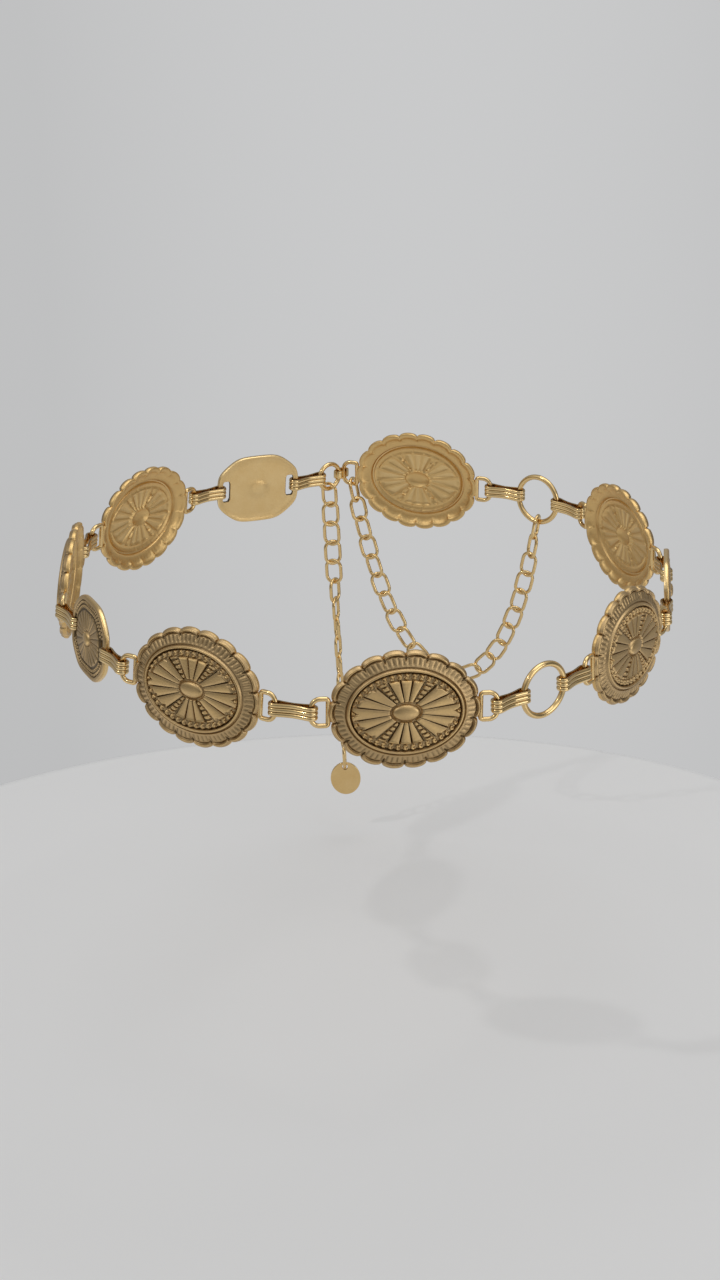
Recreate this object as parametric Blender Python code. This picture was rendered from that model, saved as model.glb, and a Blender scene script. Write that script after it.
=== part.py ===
"""Coin chain belt, closed as it is worn, with nobody in it.

Seven large scalloped conchos and three small slotted ones are joined by ribbed band clips
and two plain rings. A small clasp ring carries a tail chain with an oval tag, and a second
chain hangs in a swag across the back. Everything is metal. Units are metres, +Z is up, and
the origin is the middle of the waist. The front of the belt faces -Y.
"""

import math

import bmesh
import bpy
import numpy as np
from mathutils import Matrix, Vector

MM = 0.001

# Large concho: an oval plate with a scalloped edge, and a wire loop at each end
CONCHO_WIDTH = 48.0 * MM
CONCHO_HEIGHT = 38.5 * MM
CONCHO_DOME = 3.0 * MM
CONCHO_EDGE = 1.8 * MM
SCALLOPS = 18
SCALLOP_DEPTH = 1.0 * MM
PETALS = 20
LUG_REACH = 5.5 * MM
LUG_HALF_HEIGHT = 4.4 * MM
LUG_CORNER = 2.8 * MM
LUG_WIRE = 1.8 * MM
LUG_ROOT = 2.2 * MM

# Small concho: a plainer oval with a slot at each end, which the clips pass through
SMALL_WIDTH = 32.0 * MM
SMALL_HEIGHT = 26.0 * MM
SMALL_DOME = 1.6 * MM
SMALL_EDGE = 1.6 * MM
SMALL_SQUARENESS = 2.6
SMALL_PETALS = 12
SMALL_EDGE_POINTS = 36
SLOT_WIDTH = 3.0 * MM
SLOT_HEIGHT = 8.4 * MM
SLOT_BAR = 1.7 * MM
SLOT_CORNER = 0.9 * MM

# Band clip: a ribbed strip closed into a loop, pinched in at its waist
CLIP_PITCH = 11.7 * MM
CLIP_HEIGHT = 4.4 * MM
CLIP_BAND = 0.7 * MM
CLIP_EYE = 1.45 * MM
CLIP_WAIST = 0.35 * MM
CLIP_GROOVE = 0.2 * MM

# Rings, and the open hook that holds the clasp ring
RING_OUTER = 19.5 * MM
RING_WIRE = 2.0 * MM
RING_SEAT = 0.15 * MM
CLASP_OUTER = 11.5 * MM
CLASP_WIRE = 1.7 * MM
CLASP_SEAT = 0.25 * MM
HOOK_PITCH = 3.4 * MM
HOOK_HEIGHT = 3.0 * MM
HOOK_BAND = 0.6 * MM
HOOK_EYE = 1.3 * MM
HOOK_MOUTH = 1.9 * MM

# Chains: oval wire links, each bearing on the next, so a run of them is one body
LINK_PITCH = 7.9 * MM
LINK_WIDTH = 6.4 * MM
LINK_WIRE = 1.3 * MM
LINK_BITE = 0.9 * MM
LINK_TURN = 15.0
SWAG_LINKS = 22
SWAG_ARM = 1.8 * MM
TAIL_LINKS = 15
TAIL_FACING = -28.0
TAIL_TWIST_AFTER = 4
TAIL_TWIST = 45.0
SEAT_GAP = 0.3 * MM

# Tag at the end of the tail
TAG_WIDTH = 12.0 * MM
TAG_HEIGHT = 14.0 * MM
TAG_THICK = 0.9 * MM
TAG_HOLE = 2.2 * MM
TAG_HOLE_RISE = 5.2 * MM

# The belt sits a little lower on the +X hip, and the top of each plate leans to the waist
BELT_TILT = math.radians(4.0)
LEAN = math.radians(4.0)

# The pieces in their order round the waist, anticlockwise from the front middle when seen
# from above. Heading is the direction that the piece points in, in degrees from +X.
ORDER = (
    # name, kind, heading
    ("concho_front", "concho", 10),
    ("clip_front_ring", "clip", 44),
    ("ring_front", "ring", 41),
    ("clip_ring_right", "clip", 52),
    ("concho_right_front", "concho", 60),
    ("clip_right_front", "clip", 84),
    ("small_right", "small", 86),
    ("clip_right_back", "clip", 96),
    ("concho_right_back", "concho", 117),
    ("clip_right_ring", "clip", 135),
    ("ring_back", "ring", 143),
    ("clip_ring_back", "clip", 159),
    ("concho_back", "concho", 163),
    ("hook", "hook", 235),
    ("clasp_ring", "clasp", 222),
    ("clip_clasp", "clip", 216),
    ("small_back", "small", 204),
    ("clip_back_left", "clip", 218),
    ("concho_left_back", "concho", 235),
    ("clip_left_back", "clip", 262),
    ("concho_left", "concho", 269),
    ("clip_left", "clip", 300),
    ("small_left", "small", 295),
    ("clip_left_front", "clip", 302),
    ("concho_left_front", "concho", 329),
    ("clip_front_left", "clip", 345),
)

PITCHES = {
    "concho": CONCHO_WIDTH + 2 * LUG_REACH,
    "small": SMALL_WIDTH - SLOT_BAR,
    "clip": CLIP_PITCH,
    "ring": RING_OUTER - RING_WIRE - 2 * RING_SEAT,
    "clasp": CLASP_OUTER - CLASP_WIRE - 2 * CLASP_SEAT,
    "hook": HOOK_PITCH,
}
LEANING = {"concho", "small", "clip"}

FINISHES = {
    # name: colour, roughness
    "antique_gold": ((0.36, 0.24, 0.10), 0.42),
    "bright_gold": ((0.60, 0.42, 0.16), 0.28),
}


def clear_scene():
    for obj in list(bpy.data.objects):
        bpy.data.objects.remove(obj, do_unlink=True)


def finish(name):
    """The finish's material, made the first time that it is asked for."""
    material = bpy.data.materials.get(name)
    if material is None:
        colour, roughness = FINISHES[name]
        material = bpy.data.materials.new(name)
        material.use_nodes = True
        shader = material.node_tree.nodes["Principled BSDF"]
        shader.inputs["Base Color"].default_value = (*colour, 1.0)
        shader.inputs["Metallic"].default_value = 1.0
        shader.inputs["Roughness"].default_value = roughness
    return material


def object_from(name, bm, material, place):
    """A named object from a bmesh, with its faces turned out."""
    bmesh.ops.recalc_face_normals(bm, faces=bm.faces)
    mesh = bpy.data.meshes.new(name)
    bm.to_mesh(mesh)
    bm.free()
    mesh.shade_smooth()
    mesh.set_sharp_from_angle(angle=math.radians(40))
    mesh.materials.append(finish(material))
    obj = bpy.data.objects.new(name, mesh)
    obj.matrix_world = place
    bpy.context.scene.collection.objects.link(obj)
    return obj


def combine(obj, other, operation):
    """Joins the other object to this one, or cuts it from this one, and hides it."""
    boolean = obj.modifiers.new(other.name, "BOOLEAN")
    boolean.operation = operation
    boolean.solver = "EXACT"
    boolean.object = other
    other.hide_render = True
    other.display_type = "WIRE"


def frame_from(centre, along, up):
    """The matrix whose X is along, Y is up and Z points out of the belt."""
    out = along.cross(up).normalized()
    axes = Matrix((along, out.cross(along), out)).transposed().to_4x4()
    return Matrix.Translation(centre) @ axes


# Rings of points, and the faces between them


def ring_of(bm, points):
    """A closed ring of vertices, and how far round each one is, from 0 to 1."""
    verts = [bm.verts.new(point) for point in points]
    return verts, [i / len(verts) for i in range(len(verts))]


def stitch(bm, inner, outer):
    """Triangles between two closed rings, which may have different counts of points."""
    (a, at_a), (b, at_b) = inner, outer
    i = j = 0
    while i < len(a) or j < len(b):
        next_a = at_a[i + 1] if i + 1 < len(a) else 1.0
        next_b = at_b[j + 1] if j + 1 < len(b) else 1.0
        here = (a[i % len(a)], b[j % len(b)])
        if j < len(b) and (i >= len(a) or next_b <= next_a):
            bm.faces.new((*here, b[(j + 1) % len(b)]))
            j += 1
        else:
            bm.faces.new((*here, a[(i + 1) % len(a)]))
            i += 1


def cap(bm, ring, point):
    """A fan from one point to a closed ring."""
    verts, _ = ring
    middle = bm.verts.new(point)
    for here, after in zip(verts, verts[1:] + verts[:1]):
        bm.faces.new((middle, here, after))


def tube(bm, path, radius, sides, closed):
    """A wire along a path of points, with flat ends if it is open."""
    count = len(path)
    rings = []
    normal = None
    for i, point in enumerate(path):
        before = path[i - 1] if closed or i else point
        after = path[(i + 1) % count] if closed or i + 1 < count else point
        tangent = (after - before).normalized()
        if normal is None:
            normal = Vector((0, 0, 1)) if abs(tangent.z) < 0.5 else tangent.orthogonal()
        normal = (normal - tangent * normal.dot(tangent)).normalized()
        side = tangent.cross(normal)
        turns = [2 * math.pi * (k + 0.5) / sides for k in range(sides)]
        section = [point + (normal * math.cos(a) + side * math.sin(a)) * radius for a in turns]
        rings.append(ring_of(bm, section))
    for here, after in zip(rings[:-1], rings[1:]):
        stitch(bm, here, after)
    if closed:
        stitch(bm, rings[-1], rings[0])
    else:
        cap(bm, rings[0], path[0])
        cap(bm, rings[-1], path[-1])


# Plates


def oval_at(share, width, height, squareness=2.0):
    """The point of an oval at each share of its perimeter, from 0 to 1, starting at +X."""
    fine = np.linspace(0.0, 2 * math.pi, 1441)
    power = 2.0 / squareness
    x = np.sign(np.cos(fine)) * np.abs(np.cos(fine)) ** power * width / 2
    y = np.sign(np.sin(fine)) * np.abs(np.sin(fine)) ** power * height / 2
    run = np.concatenate([[0.0], np.cumsum(np.hypot(np.diff(x), np.diff(y)))])
    run /= run[-1]
    return np.stack([np.interp(share, run, x), np.interp(share, run, y)], axis=1)


def large_oval(share):
    return oval_at(share, CONCHO_WIDTH, CONCHO_HEIGHT)


def scalloped_oval(share):
    """The large oval with its edge bulging out in equal scallops, one centred at each end."""
    flat = large_oval(share)
    across = np.mod(share * SCALLOPS + 0.5, 1.0) * 2 - 1
    dip = SCALLOP_DEPTH * (1 - np.sqrt(1 - 0.96 * across**2))
    return flat * (1 - dip / np.linalg.norm(flat, axis=1))[:, None]


def small_oval(share):
    return oval_at(share, SMALL_WIDTH, SMALL_HEIGHT, SMALL_SQUARENESS)


def level(count, outline, size, height, groove=0.0):
    """One ring of a plate: its outline at a size and height, with every second point sunk."""
    share = (np.arange(count) + 0.5) / count
    rise = height - groove * (np.arange(count) % 2)
    return np.column_stack([outline(share) * size, rise])


def plate(name, levels, top, back, place):
    """A plate from its levels, in order from the front's middle out and round to the back."""
    bm = bmesh.new()
    rings = [ring_of(bm, points) for points in levels]
    cap(bm, rings[0], (0.0, 0.0, top))
    for inner, outer in zip(rings[:-1], rings[1:]):
        stitch(bm, inner, outer)
    cap(bm, rings[-1], (0.0, 0.0, back))
    return object_from(name, bm, "antique_gold", place)


def lug_path(side):
    """The route of a wire loop: an arm, a round corner, the upright bar, and back."""
    bar = CONCHO_WIDTH / 2 + LUG_REACH
    path = [Vector((side * (CONCHO_WIDTH / 2 - LUG_ROOT), -LUG_HALF_HEIGHT, 0))]
    for turn in (-90, -60, -30, 0):
        a = math.radians(turn)
        x = bar - LUG_CORNER + LUG_CORNER * math.cos(a)
        y = -LUG_HALF_HEIGHT + LUG_CORNER + LUG_CORNER * math.sin(a)
        path.append(Vector((side * x, y, 0)))
    return path + [Vector((point.x, -point.y, 0)) for point in reversed(path)]


def concho(name, place):
    """A large concho: boss, petals, raised oval, scalloped edge, and its two wire loops."""
    edge, dome = CONCHO_EDGE / 2, CONCHO_DOME
    fine, petal = 3 * SCALLOPS, 2 * PETALS
    levels = (
        level(PETALS, large_oval, 0.11, dome + 1.2 * MM),
        level(PETALS, large_oval, 0.19, dome + 0.1 * MM),
        level(petal, large_oval, 0.23, dome + 0.1 * MM, 0.25 * MM),
        level(petal, large_oval, 0.67, dome - 0.2 * MM, 0.35 * MM),
        level(fine, large_oval, 0.78, dome - 0.4 * MM),
        level(fine, large_oval, 0.91, edge + 0.6 * MM),
        level(fine, scalloped_oval, 1.0, edge),
        level(fine, scalloped_oval, 1.0, -edge),
        level(fine // 2, large_oval, 0.82, -edge + 1.5 * MM),
    )
    body = plate(name, levels, dome + 1.5 * MM, dome - 1.2 * MM, place)
    for side, end in ((-1, "start"), (1, "end")):
        bm = bmesh.new()
        tube(bm, lug_path(side), LUG_WIRE / 2, 6, closed=False)
        combine(body, object_from(f"{name}_lug_{end}", bm, "bright_gold", place), "UNION")
    return body


def slot_cutter(name, middle, place):
    """A block with cut corners, which opens one slot."""
    half, reach = SLOT_WIDTH / 2, SLOT_HEIGHT / 2
    corners = ((1, -1), (1, 1), (-1, 1), (-1, -1))
    outline = []
    for x, y in corners:
        upright = (middle + x * half, y * (reach - SLOT_CORNER))
        level_end = (middle + x * (half - SLOT_CORNER), y * reach)
        outline += [level_end, upright] if x * y < 0 else [upright, level_end]
    bm = bmesh.new()
    rings = [ring_of(bm, [(x, y, z * MM) for x, y in outline]) for z in (-5, 6)]
    cap(bm, rings[0], (middle, 0, -5 * MM))
    stitch(bm, rings[0], rings[1])
    cap(bm, rings[1], (middle, 0, 6 * MM))
    return object_from(name, bm, "antique_gold", place)


def small_concho(name, place):
    """A small concho: boss, petals, milled rim, plain back, and a slot at each end."""
    edge, dome = SMALL_EDGE / 2, SMALL_DOME
    petal, fine = 2 * SMALL_PETALS, SMALL_EDGE_POINTS
    levels = (
        level(SMALL_PETALS, small_oval, 0.16, dome + 0.6 * MM),
        level(petal, small_oval, 0.25, dome, 0.2 * MM),
        level(petal, small_oval, 0.60, dome - 0.1 * MM, 0.3 * MM),
        level(fine, small_oval, 0.88, edge),
        level(fine, small_oval, 0.94, edge + 0.3 * MM),
        level(fine, small_oval, 1.0, edge),
        level(fine, small_oval, 1.0, -edge),
    )
    body = plate(name, levels, dome + 0.9 * MM, -edge + 0.5 * MM, place)
    middle = SMALL_WIDTH / 2 - SLOT_BAR - SLOT_WIDTH / 2
    for side, end in ((-1, "start"), (1, "end")):
        combine(body, slot_cutter(f"{name}_slot_{end}", side * middle, place), "DIFFERENCE")
    return body


# Clips, rings and the hook


def band_outline(grow):
    """A clip's loop from above: two round eyes and a waist, moved out by a distance."""
    eye, end = CLIP_EYE + grow, CLIP_PITCH / 2
    right = [
        (end + eye * math.cos(math.radians(a)), eye * math.sin(math.radians(a)))
        for a in (-90, -45, 0, 45, 90)
    ]
    slope = (end / 2, (CLIP_EYE + CLIP_WAIST) * 0.45 + grow)
    half = right + [slope, (0.0, CLIP_WAIST + grow), (-slope[0], slope[1])]
    return half + [(-x, -z) for x, z in half]


def clip(name, place):
    """A band clip: a closed strip with three ribs along its outside."""
    profile = (
        # height as a share of half the strip, how far out from the strip's inside
        (-1.0, CLIP_BAND),
        (-0.33, CLIP_BAND - CLIP_GROOVE),
        (0.0, CLIP_BAND),
        (0.33, CLIP_BAND - CLIP_GROOVE),
        (1.0, CLIP_BAND),
        (1.0, 0.0),
        (-1.0, 0.0),
    )
    bm = bmesh.new()
    loops = [
        ring_of(bm, [(x, height * CLIP_HEIGHT / 2, z) for x, z in band_outline(out)])
        for height, out in profile
    ]
    for here, after in zip(loops, loops[1:] + loops[:1]):
        stitch(bm, here, after)
    return object_from(name, bm, "bright_gold", place)


def hook(name, place):
    """The hook: a strip bent round both wires, with its mouth on the waist's side."""
    end = HOOK_PITCH / 2

    def side(radius):
        arc = [(math.radians(a), end) for a in (-90, -45, 0, 45, 90)]
        right = [(x + radius * math.cos(a), radius * math.sin(a)) for a, x in arc]
        left = [(-x, z) for x, z in reversed(right)]
        return [(HOOK_MOUTH / 2, -radius), *right, *left, (-HOOK_MOUTH / 2, -radius)]

    outline = side(HOOK_EYE + HOOK_BAND) + side(HOOK_EYE)[::-1]
    bm = bmesh.new()
    half = HOOK_HEIGHT / 2
    rings = [ring_of(bm, [(x, y, z) for x, z in outline]) for y in (-half, half)]
    stitch(bm, rings[0], rings[1])
    for verts, _ in rings:
        pairs = len(verts) // 2
        for i in range(pairs - 1):
            bm.faces.new((verts[i], verts[i + 1], verts[-2 - i], verts[-1 - i]))
    return object_from(name, bm, "bright_gold", place)


def wire_ring(name, outer, wire, steps, place):
    radius = (outer - wire) / 2
    turns = [2 * math.pi * i / steps for i in range(steps)]
    bm = bmesh.new()
    tube(bm, [Vector((radius * math.cos(a), radius * math.sin(a), 0)) for a in turns],
         wire / 2, 6, closed=True)
    return object_from(name, bm, "bright_gold", place)


# Chains and the tag


def link(name, place):
    """One oval link: X is its width, Y its length and Z the way it faces."""
    end_radius = (LINK_WIDTH - LINK_WIRE) / 2
    straight = (LINK_PITCH + LINK_BITE) / 2 - end_radius
    top = [
        Vector((end_radius * math.cos(a), straight + end_radius * math.sin(a), 0))
        for a in np.radians((0, 45, 90, 135, 180))
    ]
    bm = bmesh.new()
    tube(bm, top + [-point for point in top], LINK_WIRE * 0.55, 4, closed=True)
    return object_from(name, bm, "bright_gold", place)


def chain(name, places):
    """A run of links as one body: the first, with the others joined to it."""
    body = link(name, places[0])
    for i, place in enumerate(places[1:], start=2):
        combine(body, link(f"{name}_link_{i:02d}", place), "UNION")
    return body


def link_frame(centre, down, facing, turn):
    """A link's matrix: its length runs along the chain, and turn rolls it about the chain."""
    up = -down.normalized()
    out = (facing - up * facing.dot(up)).normalized()
    out = Matrix.Rotation(math.radians(turn), 3, up) @ out
    return Matrix.Translation(centre) @ Matrix((up.cross(out), up, out)).transposed().to_4x4()


def alternate(index):
    return LINK_TURN if index % 2 else -LINK_TURN


def seat_offset(carrier_wire):
    """From the wire that carries an end link to that link's middle, along the chain."""
    rise = carrier_wire / 2 + SEAT_GAP + LINK_WIRE * 0.55
    return (LINK_PITCH + LINK_BITE) / 2 - rise


def catenary(start, end, length, runs):
    """Points and directions at given runs along a chain of a length, hung between two points."""
    across = Vector((end.x - start.x, end.y - start.y, 0))
    span, rise = across.length, end.z - start.z
    across.normalize()
    target = math.sqrt(length**2 - rise**2) / span
    low, high = 1e-3, 50.0
    for _ in range(80):
        middle = (low + high) / 2
        low, high = (middle, high) if math.sinh(middle) / middle < target else (low, middle)
    scale = span / (2 * low)
    shift = span / 2 - scale * math.atanh(rise / length)
    bottom_run = scale * math.sinh(-shift / scale)
    found = []
    for run in runs:
        x = shift + scale * math.asinh((run + bottom_run) / scale)
        z = scale * (math.cosh((x - shift) / scale) - math.cosh(-shift / scale))
        slope = (run + bottom_run) / scale
        found.append((start + across * x + Vector((0, 0, z)), across + Vector((0, 0, slope))))
    return found


def swag_places(start, end):
    """The swag's links: edge-on where they hang from their wires, and flat in between."""
    first, last = seat_offset(LUG_WIRE), seat_offset(RING_WIRE)
    runs = [first + LINK_PITCH * i for i in range(SWAG_LINKS)]
    length = runs[-1] + last
    facing = (end - start).cross(Vector((0, 0, 1)))
    end_turns = {0: 90.0, 1: 48.0, SWAG_LINKS - 2: 48.0, SWAG_LINKS - 1: 90.0}
    return [
        link_frame(centre, direction, facing, end_turns.get(i, alternate(i)))
        for i, (centre, direction) in enumerate(catenary(start, end, length, runs))
    ]


def tail_places(start):
    """The tail's links, straight down: they face the front, then twist side on."""
    down, facing = Vector((0, 0, -1)), Vector((0, -1, 0))
    places = []
    for i in range(TAIL_LINKS):
        centre = start + down * (seat_offset(CLASP_WIRE) + LINK_PITCH * i)
        twist = min(max(i - TAIL_TWIST_AFTER, 0) * TAIL_TWIST, 90.0)
        end_turns = {0: TAIL_FACING, TAIL_LINKS - 1: 90.0}
        turn = end_turns.get(i, twist + alternate(i))
        places.append(link_frame(centre, down, facing, turn))
    return places


def tag(name, place):
    """The flat oval tag, with its hole near the top."""
    bm = bmesh.new()
    half = TAG_THICK / 2
    share = (np.arange(24) + 0.5) / 24
    flat = oval_at(share, TAG_WIDTH, TAG_HEIGHT)
    rings = [ring_of(bm, [(x, y, z) for x, y in flat]) for z in (half, -half)]
    cap(bm, rings[0], (0, 0, half))
    stitch(bm, rings[0], rings[1])
    cap(bm, rings[1], (0, 0, -half))
    body = object_from(name, bm, "bright_gold", place)
    hole = bmesh.new()
    turns = np.radians(np.arange(0, 360, 36))
    circle = [
        (TAG_HOLE / 2 * math.cos(a), TAG_HOLE_RISE + TAG_HOLE / 2 * math.sin(a)) for a in turns
    ]
    rings = [ring_of(hole, [(x, y, z) for x, y in circle]) for z in (2 * MM, -2 * MM)]
    cap(hole, rings[0], (0, TAG_HOLE_RISE, 2 * MM))
    stitch(hole, rings[0], rings[1])
    cap(hole, rings[1], (0, TAG_HOLE_RISE, -2 * MM))
    combine(body, object_from(f"{name}_hole", hole, "bright_gold", place), "DIFFERENCE")
    return body


# Laying the pieces out round the waist


def closed_headings(pitches, headings):
    """The headings, each turned by the least that makes the pieces close into a loop."""
    for _ in range(8):
        turn = np.stack([-np.sin(headings), np.cos(headings)]) * pitches
        gap = (np.stack([np.cos(headings), np.sin(headings)]) * pitches).sum(axis=1)
        headings = headings - turn.T @ np.linalg.solve(turn @ turn.T, gap)
    return headings


def places_round_the_waist():
    """Each piece's matrix, from the order, the pitches and the headings."""
    pitches = np.array([PITCHES[kind] for _, kind, _ in ORDER])
    headings = closed_headings(pitches, np.radians([heading for _, _, heading in ORDER]))
    steps = np.stack([np.cos(headings), np.sin(headings)], axis=1) * pitches[:, None]
    joints = np.vstack([[0.0, 0.0], np.cumsum(steps, axis=0)])
    joints -= (joints.min(axis=0) + joints.max(axis=0)) / 2
    tilt = Matrix.Rotation(BELT_TILT, 4, "Y")
    places = {}
    for i, (name, kind, _) in enumerate(ORDER):
        middle = (joints[i] + joints[i + 1]) / 2
        along = Vector((*steps[i], 0)).normalized()
        lean = Matrix.Rotation(-LEAN if kind in LEANING else 0.0, 3, along)
        up = lean @ Vector((0, 0, 1))
        places[name] = tilt @ frame_from(Vector((*middle, 0)), along, up)
    return places


def ring_bottom(place, outer, wire):
    return place @ Vector((0, -(outer - wire) / 2, 0))


def main():
    clear_scene()
    places = places_round_the_waist()
    makers = {
        "concho": concho,
        "small": small_concho,
        "clip": clip,
        "hook": hook,
        "ring": lambda name, place: wire_ring(name, RING_OUTER, RING_WIRE, 24, place),
        "clasp": lambda name, place: wire_ring(name, CLASP_OUTER, CLASP_WIRE, 16, place),
    }
    for name, kind, _ in ORDER:
        makers[kind](name, places[name])

    arm = Vector((CONCHO_WIDTH / 2 + SWAG_ARM, -LUG_HALF_HEIGHT, 0))
    swag_start = places["concho_back"] @ arm
    swag_end = ring_bottom(places["ring_back"], RING_OUTER, RING_WIRE)
    chain("swag_chain", swag_places(swag_start, swag_end))

    tail_start = ring_bottom(places["clasp_ring"], CLASP_OUTER, CLASP_WIRE)
    tail = tail_places(tail_start)
    chain("tail_chain", tail)

    bearing = (LINK_PITCH + LINK_BITE) / 2
    hole_drop = TAG_HOLE / 2 - LINK_WIRE * 0.55 - SEAT_GAP
    last = tail[-1]
    centre = last @ Vector((0, -bearing - hole_drop - TAG_HOLE_RISE, 0))
    across = last.to_3x3() @ Vector((0, 0, 1))
    tag("tag", frame_from(centre, across, Vector((0, 0, 1))))


main()
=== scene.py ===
"""Looks of the coin chain belt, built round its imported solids.

Each plate, clip, ring, hook, chain and tag is worked out with numpy as a surface on a grid, in
its own frame, and is then set in its place round the waist. The solids stay where they are.
"""

import math

import bmesh
import bpy
import numpy as np
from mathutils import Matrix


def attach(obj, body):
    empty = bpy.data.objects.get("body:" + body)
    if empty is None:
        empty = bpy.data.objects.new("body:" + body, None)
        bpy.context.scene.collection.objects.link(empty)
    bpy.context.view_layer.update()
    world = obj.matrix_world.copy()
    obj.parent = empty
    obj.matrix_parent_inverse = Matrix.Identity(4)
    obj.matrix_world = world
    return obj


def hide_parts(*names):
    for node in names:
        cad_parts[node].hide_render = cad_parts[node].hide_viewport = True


bl_info = {
    "name": "Coin chain belt",
    "version": (1, 0, 0),
    "blender": (4, 5, 0),
    "location": "View3D > Sidebar > Belt",
    "description": "Builds the belt's plates, clips, rings, chains and tag, and its stage",
    "category": "Object",
}

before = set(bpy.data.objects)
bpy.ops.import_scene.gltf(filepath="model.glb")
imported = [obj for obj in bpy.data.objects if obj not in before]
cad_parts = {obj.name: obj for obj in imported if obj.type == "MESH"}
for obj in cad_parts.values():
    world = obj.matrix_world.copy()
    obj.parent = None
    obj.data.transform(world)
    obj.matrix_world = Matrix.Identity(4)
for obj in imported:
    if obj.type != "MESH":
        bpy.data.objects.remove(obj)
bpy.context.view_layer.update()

MM = 0.001

# The pieces in their order round the waist, as in the solids. Heading is in degrees from +X.
ORDER = (
    # name, kind, heading
    ("concho_front", "concho", 10),
    ("clip_front_ring", "clip", 44),
    ("ring_front", "ring", 41),
    ("clip_ring_right", "clip", 52),
    ("concho_right_front", "concho", 60),
    ("clip_right_front", "clip", 84),
    ("small_right", "small", 86),
    ("clip_right_back", "clip", 96),
    ("concho_right_back", "concho", 117),
    ("clip_right_ring", "clip", 135),
    ("ring_back", "ring", 143),
    ("clip_ring_back", "clip", 159),
    ("concho_back", "concho", 163),
    ("hook", "hook", 235),
    ("clasp_ring", "clasp", 222),
    ("clip_clasp", "clip", 216),
    ("small_back", "small", 204),
    ("clip_back_left", "clip", 218),
    ("concho_left_back", "concho", 235),
    ("clip_left_back", "clip", 262),
    ("concho_left", "concho", 269),
    ("clip_left", "clip", 300),
    ("small_left", "small", 295),
    ("clip_left_front", "clip", 302),
    ("concho_left_front", "concho", 329),
    ("clip_front_left", "clip", 345),
)
LEANING = {"concho", "small", "clip"}
BELT_TILT = math.radians(4.0)
LEAN = math.radians(4.0)
CLOSING_ROUNDS = 8

# Seats and clearances, in millimetres, as in the solids
RING_SEAT = 0.15
CLASP_SEAT = 0.25
SEAT_GAP = 0.3

Y_AXIS = np.array([0.0, 1.0, 0.0])
Z_AXIS = np.array([0.0, 0.0, 1.0])

PLATE_FINISHES = ("antique_gold", "satin_gold")
WIRE_FINISHES = ("bright_gold",)
SHARP_ANGLE = math.radians(50)


# Sizes and colours in the panel


def size_setting(name, description, millimetres):
    """A size, given in millimetres."""
    return bpy.props.FloatProperty(
        name=name, description=description, default=millimetres * MM, unit="LENGTH"
    )


def colour_setting(name, description, *default):
    """A finish's colour, given as red, green and blue."""
    return bpy.props.FloatVectorProperty(
        name=name, description=description, subtype="COLOR", size=4, default=(*default, 1.0)
    )


class ConchoSizes(bpy.types.PropertyGroup):
    width: size_setting("Width", "Large plate, end to end", 48)
    height: size_setting("Height", "Large plate, top to bottom", 38.5)
    scallops: bpy.props.IntProperty(
        name="Scallops", description="Bulges round the large plate's edge", default=18
    )
    lug_reach: size_setting("Loop reach", "From the edge to the loop's bar", 5.5)
    small_width: size_setting("Small width", "Small plate, end to end", 32)
    small_height: size_setting("Small height", "Small plate, top to bottom", 26)


class LinkageSizes(bpy.types.PropertyGroup):
    clip_pitch: size_setting("Clip pitch", "Between a clip's two eyes", 11.7)
    ring_outer: size_setting("Ring", "Outside of the two plain rings", 19.5)
    ring_wire: size_setting("Ring wire", "Thickness of their wire", 2.0)
    clasp_outer: size_setting("Clasp ring", "Outside of the clasp ring", 11.5)
    clasp_wire: size_setting("Clasp wire", "Thickness of its wire", 1.7)
    hook_pitch: size_setting("Hook pitch", "Between the wires that the hook holds", 3.4)


class ChainSizes(bpy.types.PropertyGroup):
    pitch: size_setting("Pitch", "From one link to the next", 7.9)
    width: size_setting("Width", "Outside width of a link", 7.0)
    wire: size_setting("Wire", "Thickness of a link's wire", 1.3)
    tag_width: size_setting("Tag width", "Across the tag", 12)
    tag_height: size_setting("Tag height", "Down the tag", 14)


class Finishes(bpy.types.PropertyGroup):
    gold: colour_setting("Gold", "Polished metal", 0.84, 0.62, 0.31)
    satin: colour_setting("Satin gold", "The plates' backs, and worn places", 0.74, 0.505, 0.215)
    antique: colour_setting("Antique gold", "The plates' dulled fronts", 0.52, 0.365, 0.185)
    patina: colour_setting("Patina", "Dark metal left in the recesses", 0.15, 0.104, 0.052)
    backdrop: colour_setting("Backdrop", "Grey of the studio", 0.555, 0.558, 0.562)


# Small helpers on arrays

PLATEAU_TOP = 0.72
EDGE_STEPS = 4000


def smooth(low, high, value):
    """A smooth step from 0 at low to 1 at high."""
    share = np.clip((value - low) / (high - low), 0.0, 1.0)
    return share * share * (3 - 2 * share)


def dome(offset):
    """The height of a half circle of radius one at an offset from its middle."""
    return np.sqrt(np.clip(1 - offset**2, 0.0, None))


def ridge(offset, width):
    """A soft ridge one high, which falls to nothing over about twice its width."""
    return np.exp(-((offset / width) ** 2))


def plateau(distance):
    """A flat-topped bump: one inside, and nothing beyond a distance of one."""
    return smooth(1.0, PLATEAU_TOP, distance)


def notch(offset, half_width):
    """A V one deep, which falls off in straight lines to nothing at its half width."""
    return np.clip(1 - np.abs(offset) / half_width, 0, 1)


def wave(run):
    """How far each point is from the middle of its wave, from 0 there to 1 halfway to the next
    one. The waves' middles lie at whole numbers."""
    return np.abs(np.mod(run + 0.5, 1.0) - 0.5) * 2


def unit(vectors):
    """The same directions with a length of one."""
    return vectors / np.linalg.norm(vectors, axis=-1, keepdims=True)


def full_turn(count):
    """Angles at equal steps round a circle, the first at +X."""
    return 2 * math.pi * np.arange(count) / count


def matrix_of(right, up, out, centre):
    """A matrix whose columns are three directions and a centre."""
    matrix = np.eye(4)
    matrix[:3, :4] = np.stack([right, up, out, centre], axis=1)
    return matrix


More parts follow.
